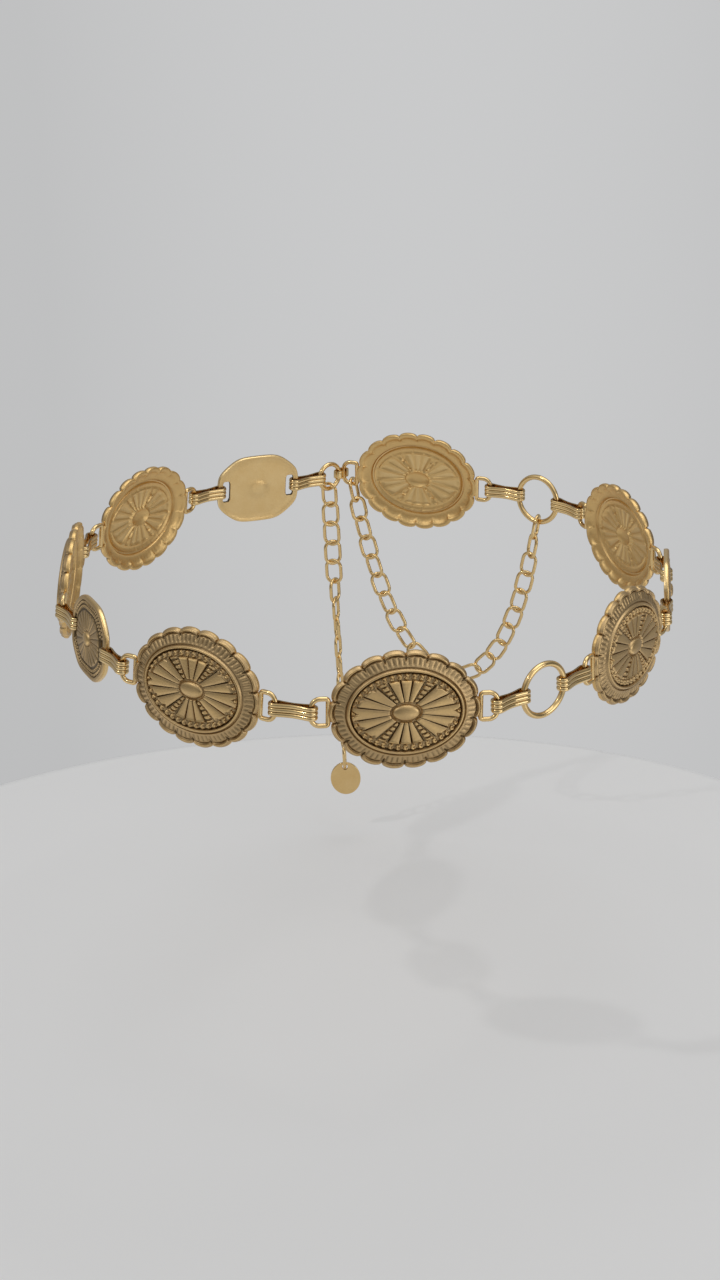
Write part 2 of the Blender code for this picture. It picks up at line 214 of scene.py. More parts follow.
def oval(angle, half_width, half_height, squareness=2.0):
    """Points of a superellipse: each of cos and sin is raised to two over its squareness."""
    power = 2.0 / squareness
    cosine, sine = np.cos(angle), np.sin(angle)
    return (
        half_width * np.sign(cosine) * np.abs(cosine) ** power,
        half_height * np.sign(sine) * np.abs(sine) ** power,
    )


def edge_runs(half_width, half_height, squareness=2.0):
    """Angles of an oval at fine steps, and how far along its edge each one lies, from 0 to 1."""
    fine = np.linspace(0.0, 2 * math.pi, EDGE_STEPS + 1)
    x, y = oval(fine, half_width, half_height, squareness)
    run = np.concatenate([[0.0], np.cumsum(np.hypot(np.diff(x), np.diff(y)))])
    return fine, run / run[-1]


# Meshes


def grid_shell(grid, values, poles):
    """Faces of a grid whose columns close. Its first and last rows end in poles, or meet."""
    rows, columns = grid.shape[:2]
    index = np.arange(rows * columns).reshape(rows, columns)
    below = index[:-1] if poles else index
    above = index[1:] if poles else np.roll(index, -1, axis=0)
    quads = np.stack(
        [below, np.roll(below, -1, axis=1), np.roll(above, -1, axis=1), above], axis=-1
    ).reshape(-1, 4)
    points, values = grid.reshape(-1, 3), values.reshape(-1)
    triangles = np.zeros((0, 3), int)
    if poles:
        ends = [grid[0].mean(axis=0), grid[-1].mean(axis=0)]
        first, last = len(points), len(points) + 1
        start, end = index[0], index[-1]
        triangles = np.concatenate([
            np.stack([np.roll(start, -1), start, np.full(columns, first)], axis=1),
            np.stack([end, np.roll(end, -1), np.full(columns, last)], axis=1),
        ])
        values = np.concatenate([values, [values[start].mean(), values[end].mean()]])
        points = np.vstack([points, ends])
    return points, quads, triangles, values


def outward(points, quads, triangles):
    """The same faces, turned round if they enclose a negative volume."""
    halves = np.concatenate([quads[:, [0, 1, 2]], quads[:, [0, 2, 3]], triangles])
    a, b, c = (points[halves[:, i]] for i in range(3))
    if np.einsum("ij,ij->i", a, np.cross(b, c)).sum() < 0:
        return quads[:, ::-1], triangles[:, ::-1]
    return quads, triangles


def smooth_mesh(name, points, quads, triangles):
    """A smooth mesh of four-sided faces, then three-sided ones."""
    corners = np.concatenate([quads.ravel(), triangles.ravel()])
    starts = np.concatenate([
        np.arange(len(quads)) * 4, len(quads) * 4 + np.arange(len(triangles)) * 3
    ])
    mesh = bpy.data.meshes.new(name)
    mesh.vertices.add(len(points))
    mesh.vertices.foreach_set("co", points.astype(np.float32).ravel())
    mesh.loops.add(len(corners))
    mesh.loops.foreach_set("vertex_index", corners.astype(np.int32))
    mesh.polygons.add(len(starts))
    mesh.polygons.foreach_set("loop_start", starts.astype(np.int32))
    mesh.update(calc_edges=True)
    mesh.shade_smooth()
    return mesh


def piece(name, shells, body, finishes, replaced=None, front_faces=None):
    """One mesh from shells of (points, quads, triangles, relief, place), set in the belt. It takes
    the finishes in order, and faces after the front ones get the second."""
    points, quads, triangles, relief, local = [], [], [], [], []
    count = 0
    for own, four, three, value, place in shells:
        four, three = outward(own, four, three)
        points.append(own @ place[:3, :3].T + place[:3, 3])
        local.append(own)
        relief.append(value)
        quads.append(four + count)
        triangles.append(three + count)
        count += len(own)
    quads, triangles = np.vstack(quads), np.vstack(triangles)
    mesh = smooth_mesh(name, np.vstack(points), quads, triangles)
    # The relief values carry wear and patina, and on a large plate's edge painted shade as well
    mesh.attributes.new("relief", "FLOAT", "POINT").data.foreach_set(
        "value", np.concatenate(relief).astype(np.float32)
    )
    mesh.attributes.new("local", "FLOAT_VECTOR", "POINT").data.foreach_set(
        "vector", np.vstack(local).astype(np.float32).ravel()
    )
    mesh.set_sharp_from_angle(angle=SHARP_ANGLE)
    for finish in finishes:
        mesh.materials.append(finish_named(finish))
    if front_faces:
        # The front's pole is the first half of the triangles
        behind = np.arange(len(quads) + len(triangles)) >= front_faces
        behind[len(quads):] = np.arange(len(triangles)) >= len(triangles) // 2
        mesh.polygons.foreach_set("material_index", behind.astype(np.int32))
    obj = bpy.data.objects.new(name, mesh)
    bpy.context.scene.collection.objects.link(obj)
    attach(obj, body)
    if replaced:
        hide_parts(replaced)
    return obj


# Where the pieces lie


def frame_from(centre, along, up):
    """A matrix whose columns are along, up, out of the belt, and the centre."""
    out = unit(np.cross(along, up))
    return matrix_of(along, np.cross(out, along), out, centre)


def turned(vector, axis, angle):
    """A vector turned about an axis, by the right-hand rule."""
    axis = unit(axis)
    return (
        vector * math.cos(angle)
        + np.cross(axis, vector) * math.sin(angle)
        + axis * (axis @ vector) * (1 - math.cos(angle))
    )


def closed_headings(pitches, headings):
    """The headings, each turned by the least that makes the pieces close into a loop."""
    for _ in range(CLOSING_ROUNDS):
        turn = np.stack([-np.sin(headings), np.cos(headings)]) * pitches
        gap = (np.stack([np.cos(headings), np.sin(headings)]) * pitches).sum(axis=1)
        headings = headings - turn.T @ np.linalg.solve(turn @ turn.T, gap)
    return headings


def pitches_of(scene):
    """How far apart each kind of piece holds its neighbours, in metres."""
    plates, links = scene.belt_conchos, scene.belt_linkage
    return {
        "concho": plates.width + 2 * plates.lug_reach,
        "small": plates.small_width - SMALL_BAR,
        "clip": links.clip_pitch,
        "ring": links.ring_outer - links.ring_wire - 2 * RING_SEAT * MM,
        "clasp": links.clasp_outer - links.clasp_wire - 2 * CLASP_SEAT * MM,
        "hook": links.hook_pitch,
    }


def places_round_the_waist(scene):
    """Each piece's matrix, from the order, the pitches and the headings, as in the solids, and
    the matrix that tilts the whole belt."""
    pitch_of = pitches_of(scene)
    pitches = np.array([pitch_of[kind] for _, kind, _ in ORDER])
    headings = closed_headings(pitches, np.radians([heading for _, _, heading in ORDER]))
    steps = np.stack([np.cos(headings), np.sin(headings)], axis=1) * pitches[:, None]
    joints = np.vstack([[0.0, 0.0], np.cumsum(steps, axis=0)])
    joints -= (joints.min(axis=0) + joints.max(axis=0)) / 2
    cosine, sine = math.cos(BELT_TILT), math.sin(BELT_TILT)
    tilt = np.eye(4)
    tilt[:3, :3] = [[cosine, 0, sine], [0, 1, 0], [-sine, 0, cosine]]
    places = {}
    for i, (name, kind, _) in enumerate(ORDER):
        middle = np.append((joints[i] + joints[i + 1]) / 2, 0.0)
        along = np.append(steps[i] / pitches[i], 0.0)
        up = turned(Z_AXIS, along, -LEAN if kind in LEANING else 0.0)
        places[name] = tilt @ frame_from(middle, along, up)
    return places, tilt


def at(place, x, y, z=0.0):
    """A point of a piece's own frame, in the row frame."""
    return place[:3, :3] @ np.array([x, y, z]) + place[:3, 3]


# Plates
#
# A plate's front and back are rows of ovals. Sizes are in millimetres unless MM is named, and a
# row is told by its half width. In the names below, ROW is where the middle of a form lies, HALF
# is its half width, and RISE or DEPTH is how far it stands up or goes down. Two rows in brackets
# are the start and the end of a smooth step.

# A large concho's front from its middle out: where each zone ends, as a half width and a half
# height, and how many grid rows cross it
FIRST_ROW = (0.25, 0.16)
CONCHO_ZONES = (
    # zone, half width, half height, rows
    ("boss", 4.2, 2.55, 8),
    ("moat", 4.9, 3.25, 4),
    ("petals", 16.0, 10.6, 34),
    ("marks", 17.5, 12.9, 11),
    ("ring", 18.9, 14.3, 10),
    ("band", 21.8, 17.1, 9),
    ("scallops", 24.0, 19.25, 13),
)
CONCHO_PLAN = CONCHO_ZONES[-1][1:3]
CONCHO_COLUMNS = 360

# The grooves between a quarter's petals, as angles of the oval in degrees
PETAL_GROOVES = (12.0, 32.0, 53.5, 68.5, 82.7)
GROOVE_HALF, GROOVE_DEPTH = 1.4, 0.7
GROOVE_CLEARANCE = 0.22


def plate_columns(count):
    """Angles for a large plate's columns, and how far along the edge each one lies: equal
    steps, with three more at each petal groove so that its V comes out clean."""
    fine, run = edge_runs(*CONCHO_PLAN)
    grooves = np.array(PETAL_GROOVES)
    grooves = np.concatenate([grooves, 180 - grooves, 180 + grooves, 360 - grooves])
    close = np.radians(grooves[:, None] + [-GROOVE_HALF, 0.0, GROOVE_HALF]).ravel()
    even = np.interp(np.arange(count) / count, run, fine)
    clear = np.abs(even[:, None] - close).min(axis=1) > math.radians(GROOVE_CLEARANCE)
    angle = np.sort(np.concatenate([even[clear], close]))
    return angle, np.interp(angle, fine, run)


def plate_rows():
    """Half widths and half heights of a large plate's rows, at equal steps through each zone."""
    widths, heights = [FIRST_ROW[0]], [FIRST_ROW[1]]
    for _, wide, tall, rows in CONCHO_ZONES:
        share = np.arange(1, rows + 1) / rows
        inner, low = widths[-1], heights[-1]
        widths.extend(inner + (wide - inner) * share)
        heights.extend(low + (tall - low) * share)
    return np.array(widths)[:, None], np.array(heights)[:, None]


# The petals start at the root's rows and end at a tip, with a notch in it and a bar across it
PETAL_ROOT = (4.9, 5.4)
END_TIP, SIDE_TIP = 17.3, 15.9
TIP_STEP = (0.15, -0.4)
END_NOTCH, END_NOTCH_HALF = 1.9, 0.45
SIDE_NOTCH, SIDE_NOTCH_HALF, SIDE_NOTCH_AT = 1.1, 0.3, 0.5
BLADE_RISE, BLADE_CROWN = 0.4, 0.22
TIP_BAR_RISE, TIP_BAR_IN, TIP_BAR_HALF = 0.16, 0.6, 0.3
FIELD_EDGE, FIELD_DEPTH = (17.55, 17.35), 0.28
# The beads lie between two of the grooves
BEAD_COLUMN = (53.5, 68.5)
BEADS, FIRST_BEAD, BEAD_PITCH = 5, 6.6, 2.25
BEAD_LENGTH, BEAD_WIDTH = 0.82, 0.8
BEAD_RISE, BEAD_BED = 0.72, 0.1


def petal_relief(width, angle):
    """What the petals and the bead columns add, and the row where each column's petal ends.

    The angle is folded into one quarter, which the grooves divide. A petal is a flat blade with
    a slight crown between V grooves. A bead column has rounded blocks up the diagonal, each one
    wider than the one within it. Both lie in a sunken field.
    """
    quarter = np.abs(np.mod(np.degrees(angle[0]) + 90, 180) - 90)
    grooves = np.array(PETAL_GROOVES)
    ends = np.concatenate([[-grooves[0]], grooves, [180 - grooves[-1]]])
    cell = np.searchsorted(grooves, quarter)
    start, end = ends[cell], ends[cell + 1]
    inside = (quarter - (start + end) / 2) / ((end - start) / 2)
    to_groove = np.abs(quarter[:, None] - grooves).min(axis=1)
    is_beads = (quarter > BEAD_COLUMN[0]) & (quarter < BEAD_COLUMN[1])

    end_notch = END_NOTCH * notch(inside, END_NOTCH_HALF)
    side_notch = SIDE_NOTCH * notch(inside - SIDE_NOTCH_AT, SIDE_NOTCH_HALF)
    tip = np.where(
        quarter < grooves[0],
        END_TIP - end_notch,
        SIDE_TIP - side_notch * (quarter < BEAD_COLUMN[0]),
    )
    root = smooth(*PETAL_ROOT, width)
    in_petals = root * smooth(tip + TIP_STEP[0], tip + TIP_STEP[1], width)
    blade = BLADE_RISE + BLADE_CROWN * (1 - np.abs(inside) ** 3)
    bar = TIP_BAR_RISE * ridge(width - tip + TIP_BAR_IN, TIP_BAR_HALF)
    vee = GROOVE_DEPTH * notch(to_groove, GROOVE_HALF)
    petals = in_petals * np.where(is_beads, 0.0, blade + bar * (quarter > BEAD_COLUMN[1]) - vee)

    step = np.clip(np.round((width - FIRST_BEAD) / BEAD_PITCH), 0, BEADS - 1)
    outwards = np.abs(width - FIRST_BEAD - BEAD_PITCH * step) / BEAD_PITCH * 2 / BEAD_LENGTH
    sideways = np.abs(inside) / BEAD_WIDTH
    block = plateau((outwards**3 + sideways**3) ** (1 / 3))
    beads = is_beads * in_petals * (BEAD_RISE * block - BEAD_BED)
    return petals - FIELD_DEPTH * root * smooth(*FIELD_EDGE, width) + beads, tip


MARKS, MARK_ROW, MARK_SCALE = 40, 16.7, (2.2, 1.3)
MARK_START, MARK_END = (0.1, 0.35), (17.5, 17.35)
MARK_HALF, MARK_RISE = (0.85, 0.9), 0.72
PIT_AT, PIT_HALF, PIT_DEPTH = 0.35, 0.42, 0.9


def mark_relief(width, edge_share, tip):
    """The curled marks between the petals and the ring: each a bump with a pit on one side."""
    along = (np.mod(edge_share * MARKS + 0.5, 1.0) - 0.5) * MARK_SCALE[0]
    outwards = (width - MARK_ROW) * MARK_SCALE[1]
    bump = plateau(np.hypot(along / MARK_HALF[0], outwards / MARK_HALF[1]))
    pit = plateau(np.hypot((along - PIT_AT) / PIT_HALF, outwards / PIT_HALF))
    beyond_tip = smooth(tip + MARK_START[0], tip + MARK_START[1], width)
    return beyond_tip * smooth(*MARK_END, width) * MARK_RISE * (bump - PIT_DEPTH * pit)


RING_ROW, RING_HALF, RING_RISE = 18.15, 0.5, 0.46
RING_GROOVES, RING_GROOVE_DEPTH = ((17.45, 0.2), (18.85, 0.21)), 0.42


def ring_relief(width):
    """The oval ring: a half round between two soft grooves."""
    grooves = sum(ridge(width - row, half) for row, half in RING_GROOVES)
    return RING_RISE * dome((width - RING_ROW) / RING_HALF) - RING_GROOVE_DEPTH * grooves


STROKES, STROKE_DEPTH, STROKE_SIDES = 4, 0.4, (0.45, 1.0)
STROKE_FOOT, STROKE_FOOT_SWELL, STROKE_FOOT_STEP = 19.3, 0.4, 0.35
STROKE_ENDS, STROKED_SHARE = (22.3, 22.0), 0.97
CRESCENT_FULLNESS = 0.7
HOLLOW_ROW, HOLLOW_HALF, HOLLOW_DEPTH = 22.6, 0.3, 0.42
LIP_ROW, LIP_HALF, LIP_RISE, LIP_LEAST = 23.5, 0.5, 0.6, 0.3
VALLEY_ROWS, VALLEY_HALF, VALLEY_DEPTH = (20.6, 22.5), 0.1, 0.5


def scallop_relief(width, across):
    """What the scallops add, and their lip alone: strokes in each scallop's foot, a hollow in
    it, the rolled lip round it, and a valley between it and the next."""
    foot = STROKE_FOOT + STROKE_FOOT_SWELL * dome(across)
    fan = smooth(foot, foot + STROKE_FOOT_STEP, width) * smooth(*STROKE_ENDS, width)
    stroke = smooth(*STROKE_SIDES, wave(across * STROKES / 2))
    strokes = STROKE_DEPTH * fan * stroke * (np.abs(across) < STROKED_SHARE)
    crescent = dome(across) ** CRESCENT_FULLNESS
    hollow = HOLLOW_DEPTH * ridge(width - HOLLOW_ROW, HOLLOW_HALF) * crescent
    lip = LIP_RISE * dome((width - LIP_ROW) / LIP_HALF) * (LIP_LEAST + (1 - LIP_LEAST) * crescent)
    between = ridge(np.abs(across) - 1, VALLEY_HALF)
    valley = VALLEY_DEPTH * between * smooth(*VALLEY_ROWS, width)
    return lip - strokes - hollow - valley, lip


# How far the scallops' valleys are drawn in, and between which rows
SCALLOP_DEPTH, SCALLOP_ROUNDNESS, SCALLOP_ROWS = 1.55, 0.96, (19.2, 24.0)
# The low dome under the relief, as rows and heights
DOME_ROWS = (0, 5, 16, 17.7, 18.9, 21.5, 22.6, 24)
DOME_RISES = (3.3, 3.3, 3.05, 2.9, 2.6, 1.8, 1.35, 0.95)
BOSS_HALF, BOSS_RISE, BOSS_FULLNESS, BOSS_START = 4.3, 1.15, 0.8, 0.05
MOAT_ROW, MOAT_HALF, MOAT_DEPTH = 4.65, 0.34, 0.5
# How rubbed a point is: 0 is full of patina and 1 is bare
RUBBED_FLAT, RUBBED_BY_RISE, RUBBED_BY_MOAT, RUBBED_BOSS = 0.52, 0.75, 0.3, 0.76
LIP_DULLING, RING_DULLING = 0.3, 0.15


def large_front(scallop_count, angle, edge_share):
    """The front of a large concho in millimetres: its grid, what is raised on it, its boss, and
    how rubbed each point is.

    Rows are ovals whose half width and half height run through the zones' table, and the
    scallops draw the outer ones in at each valley. Height is a low dome, plus a boss in a moat,
    plus what each zone adds.
    """
    width, height = plate_rows()
    angle, edge_share = angle[None, :], edge_share[None, :]
    across = np.mod(edge_share * scallop_count + 0.5, 1.0) * 2 - 1
    drawn = 1 - np.sqrt(1 - SCALLOP_ROUNDNESS * across**2)
    draw = smooth(*SCALLOP_ROWS, width) * drawn * SCALLOP_DEPTH
    x, y = width * np.cos(angle), height * np.sin(angle)
    reach = np.hypot(x, y)
    x, y = x * (1 - draw / reach), y * (1 - draw / reach)

    base = np.interp(width, DOME_ROWS, DOME_RISES)
    boss = BOSS_RISE * dome(width / BOSS_HALF) ** BOSS_FULLNESS
    boss = np.broadcast_to(boss - MOAT_DEPTH * ridge(width - MOAT_ROW, MOAT_HALF), x.shape)
    petals, tip = petal_relief(width, angle)
    ring = ring_relief(width)
    scallops, lip = scallop_relief(width, across)
    detail = petals + mark_relief(width, edge_share, tip) + ring + scallops

    rubbed = RUBBED_FLAT + RUBBED_BY_RISE * detail + RUBBED_BY_MOAT * np.minimum(boss, 0)
    rubbed = rubbed - LIP_DULLING * lip - RING_DULLING * ring
    on_boss = np.maximum(rubbed, RUBBED_BOSS)
    rubbed = np.where(boss > BOSS_START, on_boss, np.clip(rubbed, 0, 1))
    return np.stack([x, y, base + boss], axis=-1), detail, boss, rubbed


def rounded_edge(outer, low, bulge, count):
    """Rows that carry a plate's last row down to a level: half an oval, which stands out by the
    bulge at its middle."""
    turn = np.linspace(0, math.pi, count + 2)[1:-1][:, None]
    swell = 1 + bulge * np.sin(turn) / np.linalg.norm(outer[:, :2], axis=1)
    middle, half = (outer[:, 2] + low) / 2, (outer[:, 2] - low) / 2
    return np.stack([
        outer[:, 0] * swell, outer[:, 1] * swell, middle + half * np.cos(turn)
    ], axis=-1)


def plate_shell(front, edge, back, rubbed):
    """A plate's shell, and how many of its faces lie on the front."""
    values = [
        np.broadcast_to(value, grid.shape[:2]) for value, grid in zip(rubbed, (front, edge, back))
    ]
    shell = grid_shell(np.concatenate([front, edge, back]), np.concatenate(values), poles=True)
    return shell, (len(front) + 1) * front.shape[1]


SHEET = 1.2
BACK_ROWS, BACK_LEVEL = 32, -0.85
BACK_PATTERN, BACK_BLUR, BACK_BOSS = 0.9, 4, 0.5
ROLLED_ROWS, ROLLED_SHARES = (21.6, 22.6, 23.2, 24), (0.0, 0.55, 1.0, 1.0)
BACK_RUBBED, BACK_RUBBED_BY_RISE, ROLL_RUBBED = 0.58, 0.6, 0.1
# A large plate's rounded edge is left dull and dark: painted shade along the plate's side
EDGE_BULGE, EDGE_ROWS, EDGE_RUBBED_PAINTED_SHADE = 0.35, 5, 0.62


def concho_shell(sizes):
    """A large plate: its front, a rounded edge, and a back in which the pressed pattern, blurred
    along each row, shows in reverse inside the rolled edge."""
    scale = [sizes.width / 2 / CONCHO_PLAN[0], sizes.height / 2 / CONCHO_PLAN[1], MM]
    angle, edge_share = plate_columns(CONCHO_COLUMNS)
    front, detail, boss, rubbed = large_front(sizes.scallops, angle, edge_share)
    rows = np.linspace(len(front) - 1, 0, BACK_ROWS).round().astype(int)
    width = np.abs(front[rows, 0, 0])[:, None]
    back = front[rows].copy()
    rolled = np.interp(width, ROLLED_ROWS, ROLLED_SHARES)
    shifts = range(-BACK_BLUR, BACK_BLUR + 1)
    pattern = sum(np.roll(detail[rows], shift, axis=1) for shift in shifts) / len(shifts)
    pressed = back[:, :, 2] - SHEET + BACK_PATTERN * pattern
    pressed = pressed - BACK_BOSS * np.maximum(boss[rows], 0)
    back[:, :, 2] = pressed * (1 - rolled) + BACK_LEVEL * rolled
    soft = BACK_RUBBED + BACK_RUBBED_BY_RISE * pattern * (1 - rolled) + ROLL_RUBBED * rolled
    front[:, :, 2] += detail
    front, back = front * scale, back * scale
    edge = rounded_edge(front[-1], BACK_LEVEL * MM, EDGE_BULGE * MM, EDGE_ROWS)
    # The edge's low rubbed value is painted shade along the plate's side
    return plate_shell(front, edge, back, (rubbed, EDGE_RUBBED_PAINTED_SHADE, np.clip(soft, 0, 1)))


# A small plate's front from its middle out. Its rows, and half widths of forms, are told by
# their share of the outline.
SMALL_ROWS = (
    # first, last, rows
    (0.02, 0.17, 7),
    (0.19, 0.66, 17),
    (0.675, 0.9, 24),
    (0.91, 1.0, 8),
)
SMALL_COLUMNS = 360
SMALL_PLAN, SMALL_SQUARENESS = (16, 13), 2.6
SQUARED_ROWS = (0.2, 0.8)
SMALL_DOME_ROWS, SMALL_DOME_RISES = (0, 0.2, 0.6, 0.88, 1.0), (1.5, 1.5, 1.3, 0.95, 0.75)
SMALL_BOSS_HALF, SMALL_BOSS_RISE = 0.175, 0.85
SMALL_MOAT_ROW, SMALL_MOAT_HALF, SMALL_MOAT_DEPTH = 0.195, 0.018, 0.35
RAYS, RAY_RISE, RAY_BED = 24, 0.34, 0.24
RAY_START, RAY_END = (0.2, 0.23), (0.67, 0.64)
SMALL_BEADS, SMALL_BEAD_RISE, SMALL_BEAD_HALF = 72, 0.55, 0.038
SMALL_BEAD_SIDES = (0.95, 0.35)
# Each beaded row, and how far it is shifted, in beads
SMALL_BEAD_ROWS = ((0.755, 0.5), (0.85, 0.0))
BED_START, BED_END, BED_DEPTH = (0.65, 0.68), (0.91, 0.895), 0.36
SMALL_RIM_ROW, SMALL_RIM_HALF, SMALL_RIM_RISE = 0.955, 0.05, 0.3
SMALL_RUBBED_FLAT, SMALL_RUBBED_BY_RISE, SMALL_RUBBED_BY_MOAT = 0.42, 1.1, 0.4
SMALL_RIM_RUBBED, SMALL_BOSS_RUBBED = 0.2, 0.85
SMALL_EDGE_BULGE, SMALL_EDGE_ROWS, SMALL_EDGE_RUBBED = 0.25, 4, 0.95
SMALL_BACK_GRID_ROWS, SMALL_BACK_RUBBED = 28, 0.8
SMALL_BACK_ROWS = (0, 0.15, 0.25, 0.3, 0.8, 0.9, 0.96, 1.0)
SMALL_BACK_LEVELS = (-0.95, -0.9, -0.5, -0.35, -0.35, -0.5, -0.75, -0.8)
CUT_CORNER, CUT_POWER = 1.5, 14

SMALL_BAR = 1.7 * MM
SLOT_WIDTH, SLOT_HEIGHT = 3.0 * MM, 8.4 * MM
SLOT_SQUARENESS, SLOT_COLUMNS, SLOT_RUBBED = 5.0, 48, 0.3
SLOT_LEVELS = (-5, 6)
# Points of a cut plate that are closer than this, in metres, are joined
CUT_TOLERANCE = 1e-6


def cut_oval(angle, half_width, half_height):
    """Points of a rounded oblong with its corners cut off: in each direction, the reach at
    which the 14th powers of x, y and (x + y) / 1.5, as shares of the half sizes, add up to
    one."""
    cosine, sine = np.cos(angle), np.sin(angle)
    x, y = np.abs(cosine), np.abs(sine)
    powers = x**CUT_POWER + y**CUT_POWER + ((x + y) / CUT_CORNER) ** CUT_POWER
    reach = powers ** (-1 / CUT_POWER)
    return half_width * cosine * reach, half_height * sine * reach


def small_shell(sizes):
    """A small plate: a boss, a sunburst and two beaded rows on a low dome, a smooth polished
    rim, and a plain back with a soft swelling. Rows are ovals at a share of the outline, which
    turn into its oblong on the way out."""
    share = np.concatenate([np.linspace(*rows) for rows in SMALL_ROWS])[:, None]
    fine, run = edge_runs(*SMALL_PLAN, SMALL_SQUARENESS)
    turn = np.arange(SMALL_COLUMNS)[None, :] / SMALL_COLUMNS
    angle = np.interp(turn, run, fine)
    wide, tall = cut_oval(angle, sizes.small_width / 2, sizes.small_height / 2)
    inner_x, inner_y = oval(angle, sizes.small_width / 2, sizes.small_height / 2)
    square = smooth(*SQUARED_ROWS, share)
    x = share * (inner_x + (wide - inner_x) * square)
    y = share * (inner_y + (tall - inner_y) * square)

    base = np.interp(share, SMALL_DOME_ROWS, SMALL_DOME_RISES)
    boss = SMALL_BOSS_RISE * dome(share / SMALL_BOSS_HALF) ** BOSS_FULLNESS
    boss = boss - SMALL_MOAT_DEPTH * ridge(share - SMALL_MOAT_ROW, SMALL_MOAT_HALF)
    in_rays = smooth(*RAY_START, share) * smooth(*RAY_END, share)
    rays = in_rays * (RAY_RISE * (1 - wave(turn * RAYS) ** 3) - RAY_BED)
    beads = sum(
        SMALL_BEAD_RISE
        * dome((share - row) / SMALL_BEAD_HALF)
        * smooth(*SMALL_BEAD_SIDES, wave(turn * SMALL_BEADS + shift))
        for row, shift in SMALL_BEAD_ROWS
    )
    bed = BED_DEPTH * smooth(*BED_START, share) * smooth(*BED_END, share)
    rim = SMALL_RIM_RISE * dome((share - SMALL_RIM_ROW) / SMALL_RIM_HALF)
    detail = rays + beads + rim - bed

    rubbed = SMALL_RUBBED_FLAT + SMALL_RUBBED_BY_RISE * detail + SMALL_RIM_RUBBED * rim
    rubbed = np.clip(rubbed + SMALL_RUBBED_BY_MOAT * np.minimum(boss, 0), 0, 1)
    rubbed = np.where(boss > BOSS_START, np.maximum(rubbed, SMALL_BOSS_RUBBED), rubbed)
    front = np.stack([x, y, (base + boss + detail) * MM], axis=-1)
    rows = np.linspace(len(front) - 1, 0, SMALL_BACK_GRID_ROWS).round().astype(int)
    back = front[rows].copy()
    back[:, :, 2] = np.interp(share[rows], SMALL_BACK_ROWS, SMALL_BACK_LEVELS) * MM
    low = SMALL_BACK_LEVELS[-1] * MM
    edge = rounded_edge(front[-1], low, SMALL_EDGE_BULGE * MM, SMALL_EDGE_ROWS)
    return plate_shell(front, edge, back, (rubbed, SMALL_EDGE_RUBBED, SMALL_BACK_RUBBED))


def slot_shell(middle):
    """A bar with the section of a squarish superellipse, which is cut out of a small plate."""
    x, y = oval(full_turn(SLOT_COLUMNS), SLOT_WIDTH / 2, SLOT_HEIGHT / 2, SLOT_SQUARENESS)
    levels = np.array(SLOT_LEVELS)[:, None] * MM
    grid = np.stack(np.broadcast_arrays(x + middle, y, levels), axis=-1)
    return grid_shell(grid, np.full(grid.shape[:2], SLOT_RUBBED), poles=True)


def clean_cut(mesh):
    """Join the points that a cut leaves closer than a micrometre, then take out the flaps that
    this makes: two triangles back to back on the same three points."""
    cleaned = bmesh.new()
    cleaned.from_mesh(mesh)
    bmesh.ops.remove_doubles(cleaned, verts=cleaned.verts, dist=CUT_TOLERANCE)
    many_sided = [face for face in cleaned.faces if len(face.verts) > 4]
    bmesh.ops.triangulate(cleaned, faces=many_sided, ngon_method="EAR_CLIP")
    crowded = (edge.link_faces for edge in cleaned.edges if len(edge.link_faces) > 2)
    flaps = {
        face for around in crowded for face in around
        if sum(set(other.verts) == set(face.verts) for other in around) > 1
    }
    bmesh.ops.delete(cleaned, geom=list(flaps), context="FACES")
    cleaned.to_mesh(mesh)
    cleaned.free()


# Wires and strips

LUG_HALF_HEIGHT = 4.4 * MM
LUG_CORNER, LUG_INNER_CORNER = 2.8 * MM, 0.9 * MM
LUG_WIRE, LUG_ROUND = 1.8 * MM, 1.6 * MM
LUG_INNER = 0.1 * MM
LUG_CORNER_STEPS, LUG_SIDES = 8, 12
WIRE_RUBBED = 0.8
END_SHRINK = 0.15

# In millimetres
CLIP_HEIGHT, CLIP_BAND = 4.4, 0.7
CLIP_EYE, CLIP_WAIST = 1.45, 0.6
CLIP_RIBS, CLIP_GROOVE, CLIP_RIB_SWELL = 3, 0.3, 0.12
CLIP_SLOPE = 0.45
CLIP_STEPS, CLIP_RIB_ROWS, CLIP_INNER_ROWS = 4, 19, 4
CLIP_INNER_BEVEL = 0.1
CLIP_INNER_RUBBED = 0.6
CLIP_RUBBED_DEPTHS = (CLIP_BAND / 2 - CLIP_GROOVE, CLIP_BAND / 2 - 0.08, CLIP_BAND / 2)
CLIP_RUBBED = (0.0, 0.35, 0.9)

HOOK_HEIGHT, HOOK_BAND = 3.0, 0.6
HOOK_EYE, HOOK_MOUTH = 1.3, 1.9
HOOK_STEPS, HOOK_SIDES, HOOK_SQUARENESS = 13, 20, 3.5

RING_STEPS, RING_SIDES = 72, 16


def swept(path, normal, outline, closed):
    """A section carried along a flat path: each section point goes along the path plane's
    normal by its first number, and out sideways by its second. An open path gets its ends
    closed over a last, shrunken section."""
    if closed:
        tangent = unit(np.roll(path, -1, axis=0) - np.roll(path, 1, axis=0))
    else:
        tangent = unit(np.gradient(path, axis=0))
    side = np.cross(tangent, normal)
    grid = (
        path[:, None, :]
        + outline[None, :, 0, None] * normal
        + outline[None, :, 1, None] * side[:, None, :]
    )
    if not closed:
        first, last = (
            grid[[i]] * END_SHRINK + path[i] * (1 - END_SHRINK) for i in (0, -1)
        )
        grid = np.concatenate([first, grid, last])
    return grid_shell(grid, np.full(grid.shape[:2], WIRE_RUBBED), poles=not closed)


def round_section(wire, sides):
    """The section of a round wire."""
    turn = full_turn(sides)
    return np.stack([np.cos(turn), np.sin(turn)], axis=1) * wire / 2


def in_xz(flat):
    """A flat path's points, laid in the XZ plane."""
    return np.stack([flat[:, 0], np.zeros(len(flat)), flat[:, 1]], axis=1)


